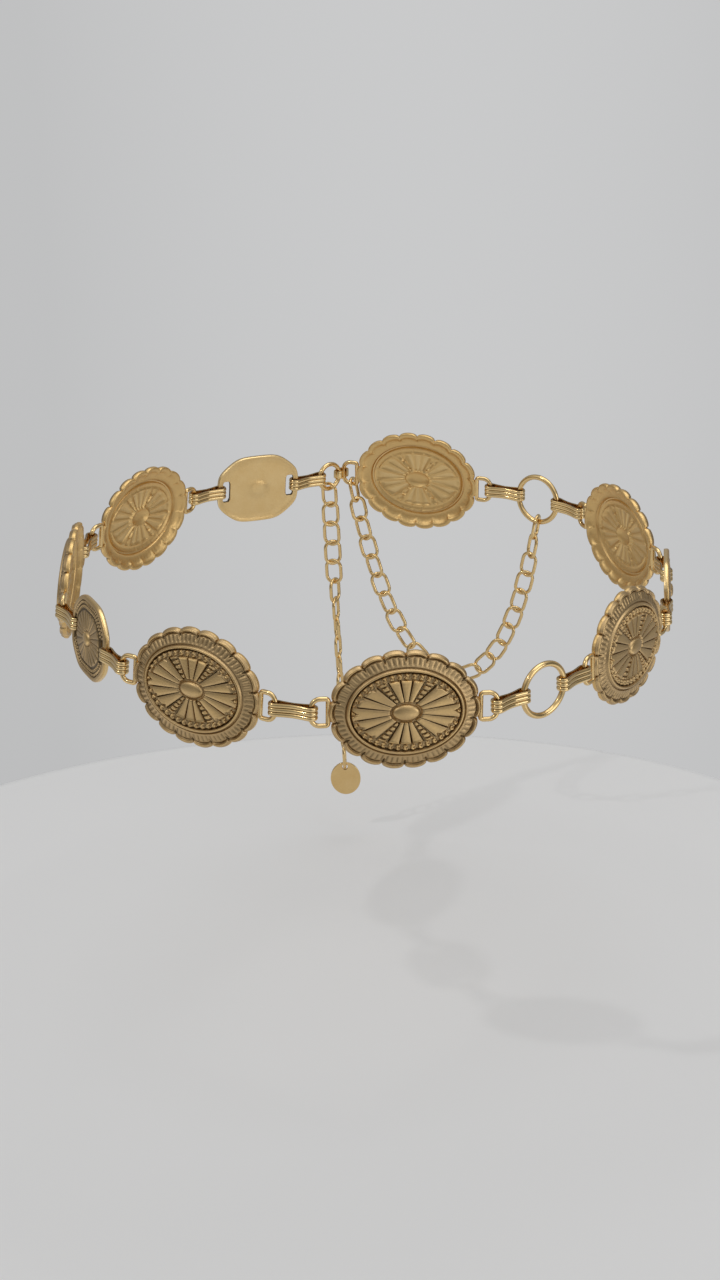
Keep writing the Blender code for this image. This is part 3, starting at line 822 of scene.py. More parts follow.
def rounded_loop(corners, radii, steps):
    """A flat closed path through corners, each one rounded by an arc of its own radius."""
    here = np.array(corners, float)
    back, on = unit(np.roll(here, 1, axis=0) - here), unit(np.roll(here, -1, axis=0) - here)
    half = np.arccos(np.einsum("ij,ij->i", back, on))[:, None] / 2
    radius = np.array(radii, float)[:, None]
    middle = (here + unit(back + on) * radius / np.sin(half))[:, None]
    start = (here + back * radius / np.tan(half))[:, None]
    end = (here + on * radius / np.tan(half))[:, None]
    chord = start + (end - start) * np.linspace(0, 1, steps)[None, :, None] - middle
    return (middle + unit(chord) * radius[:, None]).reshape(-1, 3)


def closed_curve(corners, steps):
    """A smooth closed curve through corners: a cubic between each two, which leaves each
    corner in the direction of the chord between its neighbours."""
    here = np.asarray(corners, float)
    after, later, before = (np.roll(here, shift, axis=0) for shift in (-1, -2, 1))
    t = (np.arange(steps) / steps)[None, :, None]
    curve = 0.5 * (
        2 * here[:, None]
        + (after - before)[:, None] * t
        + (2 * before - 5 * here + 4 * after - later)[:, None] * t**2
        + (3 * here - before - 3 * after + later)[:, None] * t**3
    )
    return curve.reshape(-1, here.shape[1])


def lug_shells(sizes, place):
    """The two wire loops of a large plate: a round wire in a closed D, whose flat side is
    soldered along the plate's edge."""
    shells = []
    inner, bar = sizes.width / 2 + LUG_INNER, sizes.width / 2 + sizes.lug_reach
    for side in (-1, 1):
        path = rounded_loop(
            [
                (side * inner, -LUG_HALF_HEIGHT, 0),
                (side * bar, -LUG_HALF_HEIGHT, 0),
                (side * bar, LUG_HALF_HEIGHT, 0),
                (side * inner, LUG_HALF_HEIGHT, 0),
            ],
            [LUG_INNER_CORNER, LUG_CORNER, LUG_CORNER, LUG_INNER_CORNER],
            LUG_CORNER_STEPS,
        )
        shell = swept(path, Z_AXIS, round_section(LUG_ROUND, LUG_SIDES), closed=True)
        shells.append((*shell, place))
    return shells


def clip_shell(pitch):
    """A band clip: a ribbed strip carried round two eyes and a waist. Its outside is a row of
    half rounds, one to a rib, and its inside is flat."""
    grow, end = CLIP_BAND / 2, pitch / MM / 2
    turn = np.radians([-90, -45, 0, 45, 90])
    right = np.stack([
        end + (CLIP_EYE + grow) * np.cos(turn), (CLIP_EYE + grow) * np.sin(turn)
    ], axis=1)
    slope = (end / 2, (CLIP_EYE + CLIP_WAIST) * CLIP_SLOPE + grow)
    half = np.vstack([right, slope, (0.0, CLIP_WAIST + grow), (-slope[0], slope[1])])
    path = in_xz(closed_curve(np.vstack([half, -half]), CLIP_STEPS) * MM)[::-1]
    rise = np.linspace(-1, 1, CLIP_RIB_ROWS) * CLIP_HEIGHT / 2
    rib = np.mod(rise / CLIP_HEIGHT * CLIP_RIBS + CLIP_RIBS / 2, 1.0) * 2 - 1
    ribs = grow - CLIP_GROOVE + (CLIP_GROOVE + CLIP_RIB_SWELL) * dome(rib)
    ribs[[0, -1]] = grow - CLIP_GROOVE
    inner = np.linspace(1, -1, CLIP_INNER_ROWS) * (CLIP_HEIGHT / 2 - CLIP_INNER_BEVEL)
    outline = np.vstack([
        np.stack([rise, ribs], axis=1), np.stack([inner, np.full(len(inner), -grow)], axis=1)
    ]) * MM
    points, quads, triangles, _ = swept(path, Y_AXIS, outline, closed=True)
    rubbed = np.append(
        np.interp(ribs, CLIP_RUBBED_DEPTHS, CLIP_RUBBED), np.full(len(inner), CLIP_INNER_RUBBED)
    )
    return points, quads, triangles, np.tile(rubbed, len(path))


def hook_shell(pitch):
    """The hook: a rounded strip bent round two wires, open at the mouth on the waist's side."""
    end, reach = pitch / MM / 2, HOOK_EYE + HOOK_BAND / 2
    turn = np.radians(np.linspace(-90, 90, HOOK_STEPS))
    right = np.stack([end + reach * np.cos(turn), reach * np.sin(turn)], axis=1)
    half = np.vstack([[(HOOK_MOUTH / 2, -reach)], right])
    path = in_xz(np.vstack([half, half[::-1] * [-1, 1]]) * MM)
    outline = np.stack(
        oval(full_turn(HOOK_SIDES), HOOK_HEIGHT / 2, HOOK_BAND / 2, HOOK_SQUARENESS), axis=1
    ) * MM
    return swept(path, Y_AXIS, outline, closed=False)


def ring_shell(outer, wire):
    """A torus: a round section carried round a circle."""
    turn = full_turn(RING_STEPS)
    radius = (outer - wire) / 2
    path = np.stack([np.cos(turn), np.sin(turn), np.zeros(RING_STEPS)], axis=1) * radius
    return swept(path, Z_AXIS, round_section(wire, RING_SIDES), closed=True)


# Chains and the tag

LINK_BITE = 0.9 * MM
LINK_SOLID_WIRE = 0.55
LINK_TURN = 15.0
LINK_STEPS, LINK_SIDES = 12, 10
SWAG_LINKS = 22
SWAG_END_TURNS = (90.0, 48.0)
SWAG_ARM = 1.8 * MM
TAIL_LINKS = 15
TAIL_FACING = -28.0
TAIL_TWIST_AFTER = 4
TAIL_TWIST = 45.0
TAG_THICK = 0.9 * MM
TAG_HOLE = 2.2 * MM
TAG_HOLE_RISE = 5.2 * MM
TAG_COLUMNS, TAG_SIDES, TAG_SQUARENESS, TAG_RUBBED = 96, 28, 5.0, 0.75
# The search for a hanging chain's sag, as half its span over the scale
SAG_SEARCH, SAG_ROUNDS = (1e-3, 50.0), 80


def link_shell(sizes):
    """One chain link: a round wire along two half circles and the straights between them."""
    radius = (sizes.width - sizes.wire) / 2
    straight = (sizes.pitch + sizes.wire) / 2 - radius
    turn = np.linspace(0, math.pi, LINK_STEPS)
    top = np.stack([
        radius * np.cos(turn), straight + radius * np.sin(turn), np.zeros(LINK_STEPS)
    ], axis=1)
    path = np.concatenate([top, -top])
    return swept(path, Z_AXIS, round_section(sizes.wire, LINK_SIDES), closed=True)


def link_frame(centre, down, facing, turn):
    """A link's matrix: its length runs along the chain, and turn rolls it about the chain."""
    up = -unit(down)
    out = turned(unit(facing - up * (facing @ up)), up, math.radians(turn))
    return matrix_of(np.cross(up, out), up, out, centre)


def alternate(index):
    """How far a link rolls one way or the other, in turn."""
    return LINK_TURN if index % 2 else -LINK_TURN


def seat_offset(sizes, carrier_wire):
    """From the wire that carries an end link to that link's middle, along the chain."""
    rise = carrier_wire / 2 + SEAT_GAP * MM + sizes.wire * LINK_SOLID_WIRE
    return (sizes.pitch + LINK_BITE) / 2 - rise


def catenary(start, end, length, runs):
    """Points and directions at given runs along a chain of a length, hung between two points:
    height is the scale times the hyperbolic cosine of the way across over the scale. The scale
    is found by halving."""
    across = np.append((end - start)[:2], 0.0)
    span, rise = np.linalg.norm(across), end[2] - start[2]
    across = across / span
    target = math.sqrt(length**2 - rise**2) / span
    low, high = SAG_SEARCH
    for _ in range(SAG_ROUNDS):
        middle = (low + high) / 2
        low, high = (middle, high) if math.sinh(middle) / middle < target else (low, middle)
    scale = span / (2 * low)
    shift = span / 2 - scale * math.atanh(rise / length)
    slope = (np.array(runs) + scale * math.sinh(-shift / scale)) / scale
    x = shift + scale * np.arcsinh(slope)
    z = scale * (np.cosh((x - shift) / scale) - math.cosh(-shift / scale))
    return start + np.outer(x, across) + np.outer(z, Z_AXIS), across + np.outer(slope, Z_AXIS)


def swag_places(sizes, start, end, ring_wire):
    """The swag's links, hung in a catenary. The two at each end turn towards their wires."""
    first, last = seat_offset(sizes, LUG_WIRE), seat_offset(sizes, ring_wire)
    runs = [first + sizes.pitch * i for i in range(SWAG_LINKS)]
    centres, directions = catenary(start, end, runs[-1] + last, runs)
    facing = np.cross(end - start, Z_AXIS)
    turns = [alternate(i) for i in range(SWAG_LINKS)]
    turns[:2], turns[-2:] = SWAG_END_TURNS, SWAG_END_TURNS[::-1]
    return [
        link_frame(centre, direction, facing, turn)
        for centre, direction, turn in zip(centres, directions, turns)
    ]


def tail_places(sizes, start, clasp_wire):
    """The tail's links, straight down. The first faces the clasp ring, the last the tag, and
    those between twist by a quarter turn."""
    down, facing = -Z_AXIS, -Y_AXIS
    end_turns = {0: TAIL_FACING, TAIL_LINKS - 1: 90.0}
    places = []
    for i in range(TAIL_LINKS):
        twist = min(max(i - TAIL_TWIST_AFTER, 0) * TAIL_TWIST, 90.0)
        centre = start + down * (seat_offset(sizes, clasp_wire) + sizes.pitch * i)
        turn = end_turns.get(i, twist + alternate(i))
        places.append(link_frame(centre, down, facing, turn))
    return places


def tag_shell(sizes):
    """The tag: a closed ring of sections round its hole, each one a rounded bar that reaches
    from the hole's wall to the oval edge in one direction."""
    angle = full_turn(TAG_COLUMNS)
    direction = np.stack([np.cos(angle), np.sin(angle)], axis=1)
    half = np.array([sizes.tag_width, sizes.tag_height]) / 2
    hole = np.array([0, TAG_HOLE_RISE])
    # How far the oval's edge is from the hole's middle in each direction
    a = ((direction / half) ** 2).sum(axis=1)
    b = (direction * hole / half**2).sum(axis=1)
    c = (hole**2 / half**2).sum() - 1
    reach = (-b + np.sqrt(b**2 - a * c)) / a
    bar, thick = oval(full_turn(TAG_SIDES), 1.0, TAG_THICK / 2, TAG_SQUARENESS)
    out = TAG_HOLE / 2 + (reach[:, None] - TAG_HOLE / 2) * (bar[None, :] + 1) / 2
    grid = np.stack([
        hole[0] + direction[:, None, 0] * out,
        hole[1] + direction[:, None, 1] * out,
        np.broadcast_to(thick, out.shape),
    ], axis=-1)
    return grid_shell(grid, np.full(grid.shape[:2], TAG_RUBBED), poles=False)


# Finishes

# Noise scale per metre, and detail
FINE_GRAIN, BROAD_GRAIN = (1400.0, 3.0), (160.0, 2.0)
# How much each grain shifts the relief
FINE_SHIFT, BROAD_SHIFT = 0.14, 0.24
# The relief at which a recess opens, and at which metal is rubbed bare
OPEN_RELIEF, BARE_RELIEF = (0.12, 0.50), (0.62, 0.98)
BARE_SMOOTHING, GRAIN_ROUGHNESS = -0.12, 0.6
SCRATCH_HEIGHT = 0.00012


def node_group(name, inputs, outputs):
    """A shader node group with its sockets, and its input and output nodes."""
    group = bpy.data.node_groups.new(name, "ShaderNodeTree")
    for label, kind in inputs:
        group.interface.new_socket(label, in_out="INPUT", socket_type=kind)
    for label, kind in outputs:
        group.interface.new_socket(label, in_out="OUTPUT", socket_type=kind)
    return group, group.nodes.new("NodeGroupInput"), group.nodes.new("NodeGroupOutput")


def math_node(tree, operation, *values):
    """The result of a maths node on numbers or sockets."""
    node = tree.nodes.new("ShaderNodeMath")
    node.operation = operation
    for socket, value in zip(node.inputs, values):
        if isinstance(value, (int, float)):
            socket.default_value = value
        else:
            tree.links.new(value, socket)
    return node.outputs[0]


def stepped(tree, value, low, high):
    """A smooth step of a value from 0 at low to 1 at high."""
    node = tree.nodes.new("ShaderNodeMapRange")
    node.interpolation_type = "SMOOTHSTEP"
    node.inputs["From Min"].default_value = low
    node.inputs["From Max"].default_value = high
    tree.links.new(value, node.inputs["Value"])
    return node.outputs["Result"]


def mixed(tree, share, first, second):
    """The first colour where the share is 0, the second where it is 1."""
    node = tree.nodes.new("ShaderNodeMix")
    node.data_type = "RGBA"
    for label, value in (("Factor", share), ("A", first), ("B", second)):
        tree.links.new(value, node.inputs[label])
    return node.outputs["Result"]


def noise(tree, position, scale, detail):
    """Noise from 0 to 1."""
    node = tree.nodes.new("ShaderNodeTexNoise")
    node.inputs["Scale"].default_value = scale
    node.inputs["Detail"].default_value = detail
    tree.links.new(position, node.inputs["Vector"])
    return node.outputs["Fac"]


def aged_metal_group():
    """Colours a metal by its relief: patina in the recesses, bare metal on what gets rubbed,
    both broken up by noise. It also gives a roughness and a height for fine scratches."""
    group, given, made = node_group(
        "aged_metal",
        (
            ("Relief", "NodeSocketFloat"),
            ("Position", "NodeSocketVector"),
            ("Face", "NodeSocketColor"),
            ("Recess", "NodeSocketColor"),
            ("Rubbed", "NodeSocketColor"),
            ("Dullness", "NodeSocketFloat"),
        ),
        (
            ("Colour", "NodeSocketColor"),
            ("Roughness", "NodeSocketFloat"),
            ("Scratches", "NodeSocketFloat"),
        ),
    )
    fine = noise(group, given.outputs["Position"], *FINE_GRAIN)
    broad = noise(group, given.outputs["Position"], *BROAD_GRAIN)
    uneven = math_node(group, "MULTIPLY_ADD", fine, FINE_SHIFT, -FINE_SHIFT / 2)
    blotch = math_node(group, "MULTIPLY_ADD", broad, BROAD_SHIFT, -BROAD_SHIFT / 2)
    worn = math_node(group, "ADD", given.outputs["Relief"], uneven)
    worn = math_node(group, "ADD", worn, blotch)
    open_metal = stepped(group, worn, *OPEN_RELIEF)
    bare = stepped(group, worn, *BARE_RELIEF)
    colour = mixed(group, open_metal, given.outputs["Recess"], given.outputs["Face"])
    colour = mixed(group, bare, colour, given.outputs["Rubbed"])
    rough = math_node(group, "MULTIPLY_ADD", bare, BARE_SMOOTHING, given.outputs["Dullness"])
    rough = math_node(group, "ADD", rough, math_node(group, "MULTIPLY", uneven, GRAIN_ROUGHNESS))
    group.links.new(colour, made.inputs["Colour"])
    group.links.new(rough, made.inputs["Roughness"])
    group.links.new(fine, made.inputs["Scratches"])
    return group


def metal(name, face, recess, rubbed, dullness, bump):
    """A metal finish that uses the aged metal group on the mesh's relief and local values."""
    group = bpy.data.node_groups.get("aged_metal") or aged_metal_group()
    material = bpy.data.materials.new(name)
    material.use_nodes = True
    tree = material.node_tree
    shader = tree.nodes["Principled BSDF"]
    shader.inputs["Metallic"].default_value = 1.0
    relief, local = (tree.nodes.new("ShaderNodeAttribute") for _ in range(2))
    relief.attribute_name, local.attribute_name = "relief", "local"
    aged = tree.nodes.new("ShaderNodeGroup")
    aged.node_tree = group
    for label, value in (
        ("Face", face), ("Recess", recess), ("Rubbed", rubbed), ("Dullness", dullness)
    ):
        aged.inputs[label].default_value = value
    scratch = tree.nodes.new("ShaderNodeBump")
    scratch.inputs["Strength"].default_value = bump
    scratch.inputs["Distance"].default_value = SCRATCH_HEIGHT
    for given, taken in (
        (relief.outputs["Fac"], aged.inputs["Relief"]),
        (local.outputs["Vector"], aged.inputs["Position"]),
        (aged.outputs["Colour"], shader.inputs["Base Color"]),
        (aged.outputs["Roughness"], shader.inputs["Roughness"]),
        (aged.outputs["Scratches"], scratch.inputs["Height"]),
        (scratch.outputs["Normal"], shader.inputs["Normal"]),
    ):
        tree.links.new(given, taken)
    return material


def finish_named(name):
    """The finish by name, made from the panel's colours when it is first asked for."""
    found = bpy.data.materials.get(f"{name}_finish")
    if found:
        return found
    colours = bpy.context.scene.belt_finishes
    gold, satin, antique, patina = (
        tuple(getattr(colours, key)) for key in ("gold", "satin", "antique", "patina")
    )
    recipes = {
        # face, recess, rubbed, dullness, strength of the scratches
        "antique_gold": (antique, patina, satin, 0.40, 0.35),
        "satin_gold": (satin, antique, gold, 0.42, 0.5),
        "bright_gold": (satin, patina, gold, 0.23, 0.2),
    }
    return metal(f"{name}_finish", *recipes[name])


# Operators: one for each piece or group of like pieces, and one for the stage


class BELT_OT_conchos(bpy.types.Operator):
    """Make the large plates and their wire loops"""

    bl_idname = "belt.conchos"
    bl_label = "Large conchos"

    def execute(self, context):
        sizes = context.scene.belt_conchos
        places, _ = places_round_the_waist(context.scene)
        shell, front_faces = concho_shell(sizes)
        for name, kind, _ in ORDER:
            if kind == "concho":
                plate = [(*shell, places[name])]
                piece(f"{name}_plate", plate, "belt", PLATE_FINISHES, name, front_faces)
                loops = lug_shells(sizes, places[name])
                piece(f"{name}_loops", loops, "belt", WIRE_FINISHES)
        return {"FINISHED"}


class BELT_OT_small_conchos(bpy.types.Operator):
    """Make the small plates, with a slot cut through at each end"""

    bl_idname = "belt.small_conchos"
    bl_label = "Small conchos"

    def execute(self, context):
        sizes = context.scene.belt_conchos
        places, _ = places_round_the_waist(context.scene)
        shell, front_faces = small_shell(sizes)
        middle = sizes.small_width / 2 - SMALL_BAR - SLOT_WIDTH / 2
        for name, kind, _ in ORDER:
            if kind == "small":
                place = places[name]
                plate = piece(f"{name}_plate", [(*shell, place)], "belt", PLATE_FINISHES, name,
                              front_faces)
                bars = [(*slot_shell(side * middle), place) for side in (-1, 1)]
                slots = piece(f"{name}_slots", bars, "belt", PLATE_FINISHES[:1])
                cut_out(context, plate, slots)
        return {"FINISHED"}


def cut_out(context, plate, slots):
    """Cut the slots' bars out of a plate's mesh, and remove them."""
    cut = plate.modifiers.new("slots", "BOOLEAN")
    cut.operation = "DIFFERENCE"
    cut.solver = "EXACT"
    cut.object = slots
    graph = context.evaluated_depsgraph_get()
    cut_mesh = bpy.data.meshes.new_from_object(plate.evaluated_get(graph))
    plate.modifiers.remove(cut)
    clean_cut(cut_mesh)
    plate.data = cut_mesh
    bpy.data.objects.remove(slots)


class BELT_OT_linkage(bpy.types.Operator):
    """Make the clips, the rings, the clasp ring and the hook"""

    bl_idname = "belt.linkage"
    bl_label = "Clips and rings"

    def execute(self, context):
        sizes = context.scene.belt_linkage
        places, _ = places_round_the_waist(context.scene)
        shells = {
            "clip": ("band", clip_shell(sizes.clip_pitch)),
            "ring": ("wire", ring_shell(sizes.ring_outer, sizes.ring_wire)),
            "clasp": ("wire", ring_shell(sizes.clasp_outer, sizes.clasp_wire)),
            "hook": ("strip", hook_shell(sizes.hook_pitch)),
        }
        for name, kind, _ in ORDER:
            if kind in shells:
                ending, shell = shells[kind]
                own = [(*shell, places[name])]
                piece(f"{name}_{ending}", own, "belt", WIRE_FINISHES, name)
        return {"FINISHED"}


class BELT_OT_chains(bpy.types.Operator):
    """Make the swag chain, the tail chain and the tag"""

    bl_idname = "belt.chains"
    bl_label = "Chains and tag"

    def execute(self, context):
        scene = context.scene
        sizes, links = scene.belt_chains, scene.belt_linkage
        places, _ = places_round_the_waist(scene)
        shell = link_shell(sizes)

        start = at(places["concho_back"], scene.belt_conchos.width / 2 + SWAG_ARM, -LUG_HALF_HEIGHT)
        end = at(places["ring_back"], 0, -(links.ring_outer - links.ring_wire) / 2)
        swag = [(*shell, place) for place in swag_places(sizes, start, end, links.ring_wire)]
        piece("swag_links", swag, "swag", WIRE_FINISHES, "swag_chain")

        start = at(places["clasp_ring"], 0, -(links.clasp_outer - links.clasp_wire) / 2)
        tail = [(*shell, place) for place in tail_places(sizes, start, links.clasp_wire)]
        piece("tail_links", tail, "tail", WIRE_FINISHES, "tail_chain")

        last = tail[-1][-1]
        bearing = (sizes.pitch + LINK_BITE) / 2
        drop = TAG_HOLE / 2 - sizes.wire * LINK_SOLID_WIRE - SEAT_GAP * MM
        centre = at(last, 0, -bearing - drop - TAG_HOLE_RISE)
        tag = [(*tag_shell(sizes), frame_from(centre, last[:3, 2], Z_AXIS))]
        piece("tag_disc", tag, "tag", WIRE_FINISHES, "tag")
        return {"FINISHED"}


# Stage

# The camera as measured in the photograph, in the belt's level frame and millimetres
CAMERA_DISTANCE = 993.7
CAMERA_RISE = math.radians(20.73)
CAMERA_ROLL = math.radians(1.53)
CAMERA_AIM = (10.35, -1.15, 0.0)
CAMERA_SENSOR = 36.0
CAMERA_CLIP = (0.05, 50.0)
FOCAL_PIXELS = 2852.6
CENTRE_PIXELS = (401.77, 582.21)
IMAGE_PIXELS = (720, 1280)

# A closed stage mesh's first and last rows are this small, or grow by this
NEAR_POLE = 1e-4

# The floor is a plinth. Its half width, and its reach behind and in front of its middle, are
# in metres. Its profile is in shares of those and in millimetres.
FLOOR_DROP = 0.150
FLOOR_HALF_WIDTH = 0.22
FLOOR_REACH = (0.18, 0.52)
FLOOR_MIDDLE = (-0.0305, 0.033)
FLOOR_SHARES = (NEAR_POLE, 0.5, 0.97, 0.99, 1.0, 1.0, NEAR_POLE)
FLOOR_LEVELS = (0, 0, 0, -0.5, -4, -60, -60)
FLOOR_COLUMNS = 128
FLOOR_GREY, FLOOR_ROUGHNESS, FLOOR_SPECULAR = 0.825, 0.9, 0.3

STUDIO_RADIUS, STUDIO_ROWS, STUDIO_COLUMNS = 5.0, 25, 48
UNSEEN_RAYS = ("diffuse", "transmission", "volume_scatter", "shadow")
SKY_GREY, SKY_STRENGTH = 0.60, 0.765

# What the camera sees behind the belt, a glow with painted light by height, and painted shade
# fading it to both sides
BACKDROP_BY_HEIGHT = ((-2.3, 1.0), (-2.0, 1.02), (-1.4, 1.05), (-0.6, 1.06), (2.0, 1.1))
BACKDROP_FADE, BACKDROP_LEAST = 0.15, 0.9
# What the metal mirrors: by height and from left to right in front, and one value behind
STUDIO_BY_HEIGHT = ((-4.3, 2.05), (-2.6, 1.95), (-0.6, 0.64), (0.9, 0.44), (3.3, 1.5))
STUDIO_BY_SIDE = (
    (-4.75, 0.82), (-3.9, 0.98), (-2.5, 0.86), (-0.5, 0.59), (0.6, 0.62), (1.5, 1.25),
    (2.5, 1.50), (3.3, 0.9), (4.2, 0.50),
)
STUDIO_BEHIND, STUDIO_TURNS = 0.62, (0.4, 3.0)

LIGHTS = (
    # name, position, size, power
    ("key", (-1.16, -0.61, 1.5), 0.05, 2.5),
    ("overhead", (0.2, 0.3, 1.8), 1.4, 9.0),
    ("right", (1.5, -0.9, 0.2), 0.9, 5.0),
)


class BELT_OT_stage(bpy.types.Operator):
    """Make the floor, the backdrop, the lights and the camera"""

    bl_idname = "belt.stage"
    bl_label = "Stage"

    def execute(self, context):
        scene = context.scene
        make_floor()
        make_studio(tuple(scene.belt_finishes.backdrop))
        make_sky(scene)
        for light in LIGHTS:
            area_light(*light)
        _, tilt = places_round_the_waist(scene)
        make_camera(scene, tilt)
        scene.view_settings.view_transform = "Standard"
        return {"FINISHED"}


def stage_mesh(name, grid):
    """A stage object, which isn't part of the belt, from a closed grid."""
    points, quads, triangles, _ = grid_shell(grid, np.zeros(grid.shape[:2]), poles=True)
    obj = bpy.data.objects.new(name, smooth_mesh(name, points, quads, triangles))
    bpy.context.scene.collection.objects.link(obj)
    return obj


def make_floor():
    """A low plinth with a soft edge, egg shaped in plan: half an oval behind its middle and a
    deeper half in front of it."""
    turn = full_turn(FLOOR_COLUMNS)
    share = np.array(FLOOR_SHARES)[:, None]
    level = np.array(FLOOR_LEVELS)[:, None] * MM - FLOOR_DROP
    reach = np.where(np.sin(turn) > 0, *FLOOR_REACH)
    grid = np.stack(np.broadcast_arrays(
        share * FLOOR_HALF_WIDTH * np.cos(turn) + FLOOR_MIDDLE[0],
        share * reach * np.sin(turn) + FLOOR_MIDDLE[1],
        level,
    ), axis=-1)
    floor = stage_mesh("floor", grid)
    material = bpy.data.materials.new("pale_floor")
    material.use_nodes = True
    shader = material.node_tree.nodes["Principled BSDF"]
    shader.inputs["Base Color"].default_value = (*[FLOOR_GREY] * 3, 1)
    shader.inputs["Roughness"].default_value = FLOOR_ROUGHNESS
    shader.inputs["Specular IOR Level"].default_value = FLOOR_SPECULAR
    floor.data.materials.append(material)


def make_studio(grey):
    """Two glowing globes round the belt: one that only the camera sees, and one that only the
    metal mirrors."""
    rise = np.radians(np.linspace(-90, 90, STUDIO_ROWS))[:, None]
    turn = full_turn(STUDIO_COLUMNS)
    radius = STUDIO_RADIUS * np.cos(rise) + NEAR_POLE
    grid = np.stack(np.broadcast_arrays(
        radius * np.cos(turn), radius * np.sin(turn), STUDIO_RADIUS * np.sin(rise)
    ), axis=-1)
    for name, size, glow, unseen in (
        ("backdrop", 1.0, backdrop_glow, "glossy"), ("studio", 0.95, studio_glow, "camera")
    ):
        globe = stage_mesh(name, grid * size)
        globe.data.materials.append(glow(f"{name}_grey", grey))
        for ray in (*UNSEEN_RAYS, unseen):
            setattr(globe, f"visible_{ray}", False)


def make_sky(scene):
    """An even grey light from all sides, which the metal doesn't mirror."""
    world = bpy.data.worlds.new("studio")
    world.use_nodes = True
    sky = world.node_tree.nodes["Background"]
    sky.inputs["Color"].default_value = (*[SKY_GREY] * 3, 1)
    sky.inputs["Strength"].default_value = SKY_STRENGTH
    scene.world = world
    world.cycles_visibility.glossy = False


def make_camera(scene, tilt):
    """The camera, from its rise, roll and aim in the belt's level frame."""
    cosine, sine = math.cos(CAMERA_RISE), math.sin(CAMERA_RISE)
    right, up = np.array([1.0, 0, 0]), np.array([0, sine, cosine])
    back = np.array([0, -cosine, sine])
    roll_cos, roll_sin = math.cos(CAMERA_ROLL), math.sin(CAMERA_ROLL)
    matrix = matrix_of(
        right * roll_cos + up * roll_sin,
        up * roll_cos - right * roll_sin,
        back,
        (back * CAMERA_DISTANCE + CAMERA_AIM) * MM,
    )
    data = bpy.data.cameras.new("camera")
    data.sensor_width = CAMERA_SENSOR
    data.lens = FOCAL_PIXELS / max(IMAGE_PIXELS) * CAMERA_SENSOR
    data.shift_x = (IMAGE_PIXELS[0] / 2 - CENTRE_PIXELS[0]) / max(IMAGE_PIXELS)
    data.shift_y = (CENTRE_PIXELS[1] - IMAGE_PIXELS[1] / 2) / max(IMAGE_PIXELS)
    data.clip_start, data.clip_end = CAMERA_CLIP
    camera = bpy.data.objects.new("camera", data)
    scene.collection.objects.link(camera)
    camera.matrix_world = (tilt @ matrix).T
    scene.camera = camera


def ramp(tree, value, stops):
    """A grey that runs through stops of (value, grey), from the first value to the last."""
    low, high = stops[0][0], stops[-1][0]
    share = tree.nodes.new("ShaderNodeMapRange")
    share.inputs["From Min"].default_value = low
    share.inputs["From Max"].default_value = high
    tree.links.new(value, share.inputs["Value"])
    node = tree.nodes.new("ShaderNodeValToRGB")
    elements = node.color_ramp.elements
    while len(elements) < len(stops):
        elements.new(0.5)
    for element, (position, grey) in zip(elements, stops):
        element.position = (position - low) / (high - low)
        element.color = (grey, grey, grey, 1)
    tree.links.new(share.outputs["Result"], node.inputs["Fac"])
    return node.outputs["Color"]


def glowing(name, grey):
    """A finish that only glows, its node tree, and the x, y and z of the place on it."""
    material = bpy.data.materials.new(name)
    material.use_nodes = True
    tree = material.node_tree
    shader = tree.nodes["Principled BSDF"]
    shader.inputs["Base Color"].default_value = (0, 0, 0, 1)
    shader.inputs["Specular IOR Level"].default_value = 0.0
    shader.inputs["Emission Color"].default_value = grey
    material.cycles.emission_sampling = "NONE"
    place = tree.nodes.new("ShaderNodeTexCoord")
    split = tree.nodes.new("ShaderNodeSeparateXYZ")
    tree.links.new(place.outputs["Object"], split.inputs["Vector"])
    return material, tree, [split.outputs[axis] for axis in "XYZ"]


def backdrop_glow(name, grey):
    """The backdrop that the camera sees, a glow with painted light: brighter upwards, and painted
    shade that fades it to both sides by the square of the way out."""
    material, tree, (x, _, z) = glowing(name, grey)
    level = ramp(tree, z, BACKDROP_BY_HEIGHT)
    off_middle = math_node(tree, "MULTIPLY", x, x)
    fade = math_node(tree, "MULTIPLY_ADD", off_middle, -BACKDROP_FADE, 1.0)
    fade = math_node(tree, "MAXIMUM", fade, BACKDROP_LEAST)
    glow = math_node(tree, "MULTIPLY", level, fade)
    tree.links.new(glow, tree.nodes["Principled BSDF"].inputs["Emission Strength"])
    return material


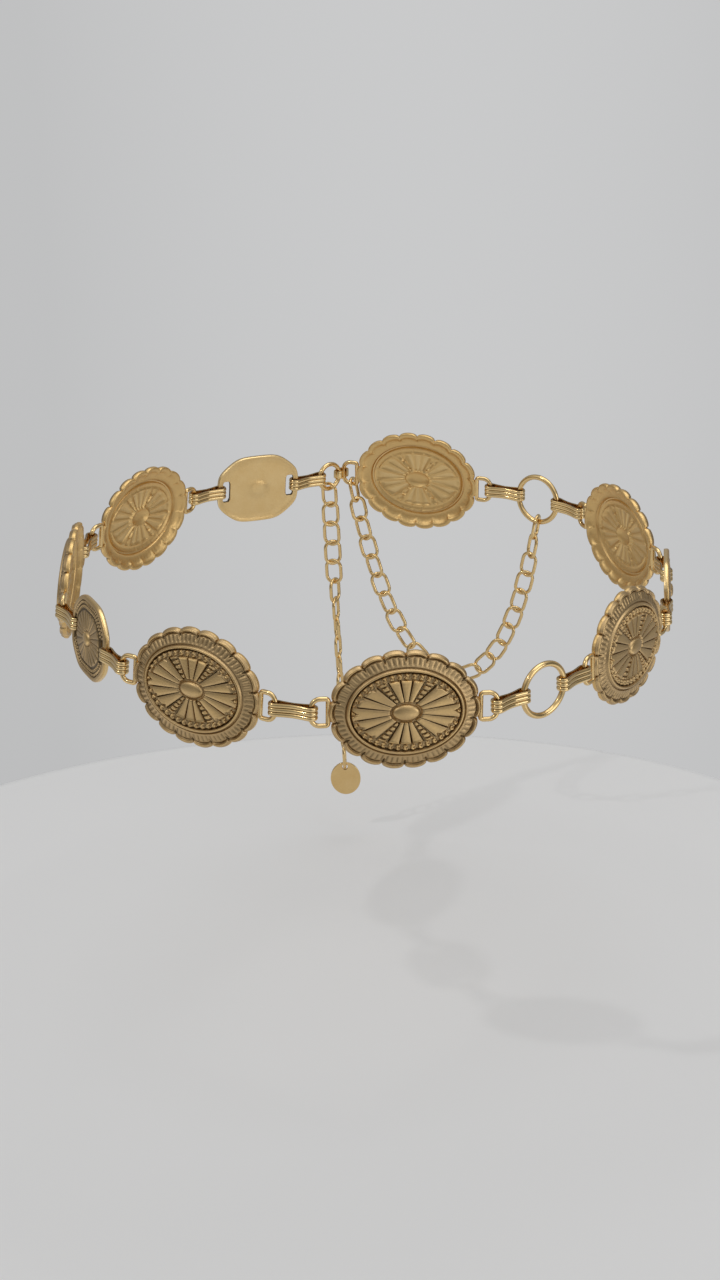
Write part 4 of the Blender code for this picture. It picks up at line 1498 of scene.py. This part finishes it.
def studio_glow(name, grey):
    """The studio that the metal mirrors: a bright floor and ceiling with a dim strip between
    them, brighter on the right in front, and even behind."""
    material, tree, (x, y, z) = glowing(name, grey)
    front = math_node(
        tree, "MULTIPLY", ramp(tree, z, STUDIO_BY_HEIGHT), ramp(tree, x, STUDIO_BY_SIDE)
    )
    glow = tree.nodes.new("ShaderNodeMix")
    tree.links.new(stepped(tree, y, *STUDIO_TURNS), glow.inputs[0])
    tree.links.new(front, glow.inputs[2])
    glow.inputs[3].default_value = STUDIO_BEHIND
    tree.links.new(glow.outputs[0], tree.nodes["Principled BSDF"].inputs["Emission Strength"])
    return material


def area_light(name, position, size, power):
    """A soft square light that faces the belt."""
    data = bpy.data.lights.new(name, "AREA")
    data.shape = "SQUARE"
    data.size = size
    data.energy = power
    obj = bpy.data.objects.new(name, data)
    bpy.context.scene.collection.objects.link(obj)
    back = unit(np.array(position))
    right = unit(np.cross(Z_AXIS, back))
    obj.matrix_world = matrix_of(right, np.cross(back, right), back, position).T


class BELT_PT_panel(bpy.types.Panel):
    """The belt's sizes, finishes and pieces"""

    bl_label = "Coin chain belt"
    bl_space_type = "VIEW_3D"
    bl_region_type = "UI"
    bl_category = "Belt"

    def draw(self, context):
        for name, settings in SETTINGS.items():
            for key in settings.__annotations__:
                self.layout.prop(getattr(context.scene, name), key)
        for operator in OPERATORS:
            self.layout.operator(operator.bl_idname)


SETTINGS = {
    "belt_conchos": ConchoSizes,
    "belt_linkage": LinkageSizes,
    "belt_chains": ChainSizes,
    "belt_finishes": Finishes,
}
OPERATORS = (
    BELT_OT_stage,
    BELT_OT_conchos,
    BELT_OT_small_conchos,
    BELT_OT_linkage,
    BELT_OT_chains,
)


def register():
    """Register the classes, and give the scene its settings."""
    for group in (*SETTINGS.values(), *OPERATORS, BELT_PT_panel):
        bpy.utils.register_class(group)
    for name, group in SETTINGS.items():
        setattr(bpy.types.Scene, name, bpy.props.PointerProperty(type=group))


def unregister():
    """Take the scene's settings and the classes out again."""
    for name in SETTINGS:
        delattr(bpy.types.Scene, name)
    for group in (BELT_PT_panel, *reversed(OPERATORS), *reversed(list(SETTINGS.values()))):
        bpy.utils.unregister_class(group)


def main():
    """Build the stage and the belt."""
    register()
    bpy.ops.belt.stage()
    bpy.ops.belt.conchos()
    bpy.ops.belt.small_conchos()
    bpy.ops.belt.linkage()
    bpy.ops.belt.chains()


if __name__ == "__main__":
    main()
